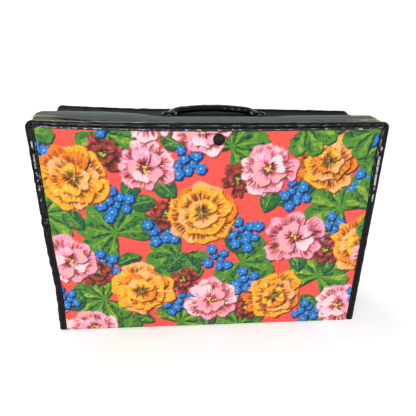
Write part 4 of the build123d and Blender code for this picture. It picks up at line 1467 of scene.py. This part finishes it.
def flat_lining(name, body, node, board, level, lift_share, material, slot):
    """Lining of a flat panel, cut to the rim's rounded corners."""
    low, high = box_mm(node)

    def face(u, v, lift):
        x, z = inside_outline(u, v, HALF - high[0])
        return np.c_[x, level + lift_share * lift, z]

    lining_sheet(name, body, node, (low[0], high[0]), (low[2], high[2]), face, material, slot)


def lining_pieces():
    """Lid, back, bottom and gusset linings, and the cloth behind the pocket."""
    lid_level = box_mm("lid_lining")[1][1]
    back_level = box_mm("back_lining")[0][1]
    cover_level = box_mm("lid_cover")[0][1] + COVER_SETBACK
    for row in (
        ("lid_lining_cloth", "lid", "lid_lining", "lid_board", lid_level, 1, LINING, "lining_cloth"),
        ("back_lining_cloth", "case", "back_lining", "back_board", back_level, -1, LINING, "lining_cloth"),
        ("lid_cover_cloth", "lid", "lid_cover", "lid_board", cover_level, -0.5, COVER, "print_cloth"),
    ):
        flat_lining(*row)
    low, high = box_mm("bottom_lining")
    lining_sheet(
        "bottom_lining_cloth", "case", "bottom_lining", (low[0], high[0]), (low[1], high[1]),
        lambda u, v, lift: np.c_[u, v, high[2] + lift],
    )
    low, high = box_mm("gusset_lining")
    depths = np.linspace(low[1], high[1], 18)
    lining = rim_band("gusset_lining_cloth", low[2], HALF - high[0], depths, LINING_THICKNESS, LINING)
    dress(lining, "case", "lining_cloth", "gusset_lining")


# CAD nodes that keep their shape


NODE_MATERIALS = {
    "bottom_board": BOARD, "back_board": BOARD, "lid_board": BOARD,
    "zip_stop_case": BRASS, "zip_stop_lid": BRASS, "zip_slider": BRASS, "zip_pull": BRASS,
    "tab_rivets": ENAMEL, "handle_ring_left": ENAMEL, "handle_ring_right": ENAMEL,
    "handle_plate": STEEL, "handle_core": STEEL,
    "ring_tab_left": VINYL_SIDE, "ring_tab_right": VINYL_SIDE,
    "snap_cap": ENAMEL, "snap_socket": BRASS, "snap_stud": BRASS, "snap_eyelet": BRASS,
}


def paint_nodes():
    """Gives each solid that stays its material."""
    for node, material in NODE_MATERIALS.items():
        mesh = frame["nodes"][node].data
        mesh.materials.clear()
        mesh.materials.append(material)


# Stage, light and camera


WORLD_LEVEL = 0.45
BACKDROP_GLOW = 0.40
WHITE = (1, 1, 1, 1)
FLOOR_DARK = (0.92, 0.92, 0.92, 1)
FLOOR_LIGHT = (0.93, 0.93, 0.93, 1)
STAGE_REACH = 4000.0
WALL_AT = 1700.0
WALL_BEND = 900.0
CAMERA_AT = (-40.4294, -552.8942, 404.9811)
CAMERA_YAW = 0.0718
CAMERA_PITCH = 0.3846
CAMERA_ROLL = 0.0119
FOCAL_PIXELS = 366.5164
IMAGE_PIXELS = 416
SENSOR = 36.0

# Lamps: place, what each one faces and its size, all in metres, and its power
CASE_MIDDLE = (0.0, -0.05, 0.2)
RIGHT_STRIP = (0.235, -0.07, 0.25)
LEFT_STRIP = (-0.235, -0.07, 0.25)
LAMPS = {
    "key": ((-0.5, -1.5, 1.5), CASE_MIDDLE, (0.9, 0.14), 6),
    "fill": ((1.2, -1.3, 0.9), CASE_MIDDLE, (0.5, 0.3), 4),
    "top": ((-0.35, 0.3, 1.6), CASE_MIDDLE, (0.9, 0.12), 7),
    "low": ((-0.1, -1.7, 0.08), CASE_MIDDLE, (1.8, 0.018), 9),
    "right_strip": ((0.604, -0.72, 0.07), RIGHT_STRIP, (0.05, 0.12), 1.05),
    "left_strip": ((-0.51, -0.75, 0.07), LEFT_STRIP, (0.05, 0.12), 1.05),
    "back": ((-0.5, 1.3, 0.75), CASE_MIDDLE, (0.6, 0.2), 2),
}


def backdrop():
    """Pale floor that curves up into a wall behind the case."""
    shader = Shader("pale_paper", Roughness=0.9, Specular_IOR_Level=0.1)
    shader.body.inputs["Emission Color"].default_value = WHITE
    shader.feed("Base Color", shader.colours(shader.noise(40.0, 4.0), (0.3, FLOOR_DARK), (0.7, FLOOR_LIGHT)))
    shader.feed("Emission Strength", shader.maths("MULTIPLY", shader.seen(), BACKDROP_GLOW))
    bend = np.linspace(0, math.pi / 2, 25)
    profile = [(-STAGE_REACH, 0.0), (0.0, 0.0)]
    profile += [(WALL_AT - WALL_BEND * (1 - math.sin(a)), WALL_BEND * (1 - math.cos(a))) for a in bend]
    profile += [(WALL_AT, STAGE_REACH)]
    points = [(x, y, z) for y, z in profile for x in (-STAGE_REACH, STAGE_REACH)]
    faces = [[2 * k, 2 * k + 1, 2 * k + 3, 2 * k + 2] for k in range(len(profile) - 1)]
    mesh = bpy.data.meshes.new("backdrop")
    mesh.from_pydata((np.array(points) * MM).tolist(), [], faces)
    mesh.polygons.foreach_set("use_smooth", [True] * len(mesh.polygons))
    mesh.materials.append(shader.material)
    obj = bpy.data.objects.new("backdrop", mesh)
    bpy.context.scene.collection.objects.link(obj)


def lamp(name, at, target, size, power):
    """Rectangular lamp turned to its target."""
    light = bpy.data.lights.new(name, "AREA")
    light.shape = "RECTANGLE"
    light.size, light.size_y = size
    light.energy = power
    obj = bpy.data.objects.new(name, light)
    obj.location = at
    obj.rotation_euler = (Vector(target) - Vector(at)).to_track_quat("-Z", "Y").to_euler()
    bpy.context.scene.collection.objects.link(obj)


def surroundings():
    """Even light from all round, white where it is seen directly, in metal or through glass."""
    world = bpy.data.worlds.new("studio")
    world.use_nodes = True
    sky = NodeTree(world.node_tree)
    background = sky.nodes["Background"]
    background.inputs["Color"].default_value = WHITE
    sky.links.new(sky.ramp(sky.seen(), WORLD_LEVEL, 1.0), background.inputs["Strength"])
    bpy.context.scene.world = world


def lights():
    """World and lamps."""
    surroundings()
    for name, (at, target, size, power) in LAMPS.items():
        lamp(name, at, target, size, power)


def camera():
    """Camera at the place and angle of the photograph."""
    cy, sy = math.cos(CAMERA_YAW), math.sin(CAMERA_YAW)
    cp, sp = math.cos(CAMERA_PITCH), math.sin(CAMERA_PITCH)
    ahead = Vector((sy * cp, cy * cp, -sp))
    right = Vector((cy, -sy, 0))
    up = right.cross(ahead)
    cr, sr = math.cos(CAMERA_ROLL), math.sin(CAMERA_ROLL)
    x_axis = right * cr + up * sr
    y_axis = up * cr - right * sr
    data = bpy.data.cameras.new("camera")
    data.sensor_fit = "HORIZONTAL"
    data.sensor_width = SENSOR
    data.lens = SENSOR * FOCAL_PIXELS / IMAGE_PIXELS
    obj = bpy.data.objects.new("camera", data)
    turn = Matrix((x_axis, y_axis, -ahead)).transposed()
    obj.matrix_world = Matrix.Translation(Vector(CAMERA_AT) * MM) @ turn.to_4x4()
    bpy.context.scene.collection.objects.link(obj)
    bpy.context.scene.camera = obj


rim_pieces()
mouth_trim()
mouth_facing()
print_pieces()
base_trims()
zip_pieces()
stitch_pieces()
grip_pad(HANDLE_PIVOT)
lining_pieces()
paint_nodes()
backdrop()
lights()
camera()
bpy.context.scene.view_settings.view_transform = "Standard"
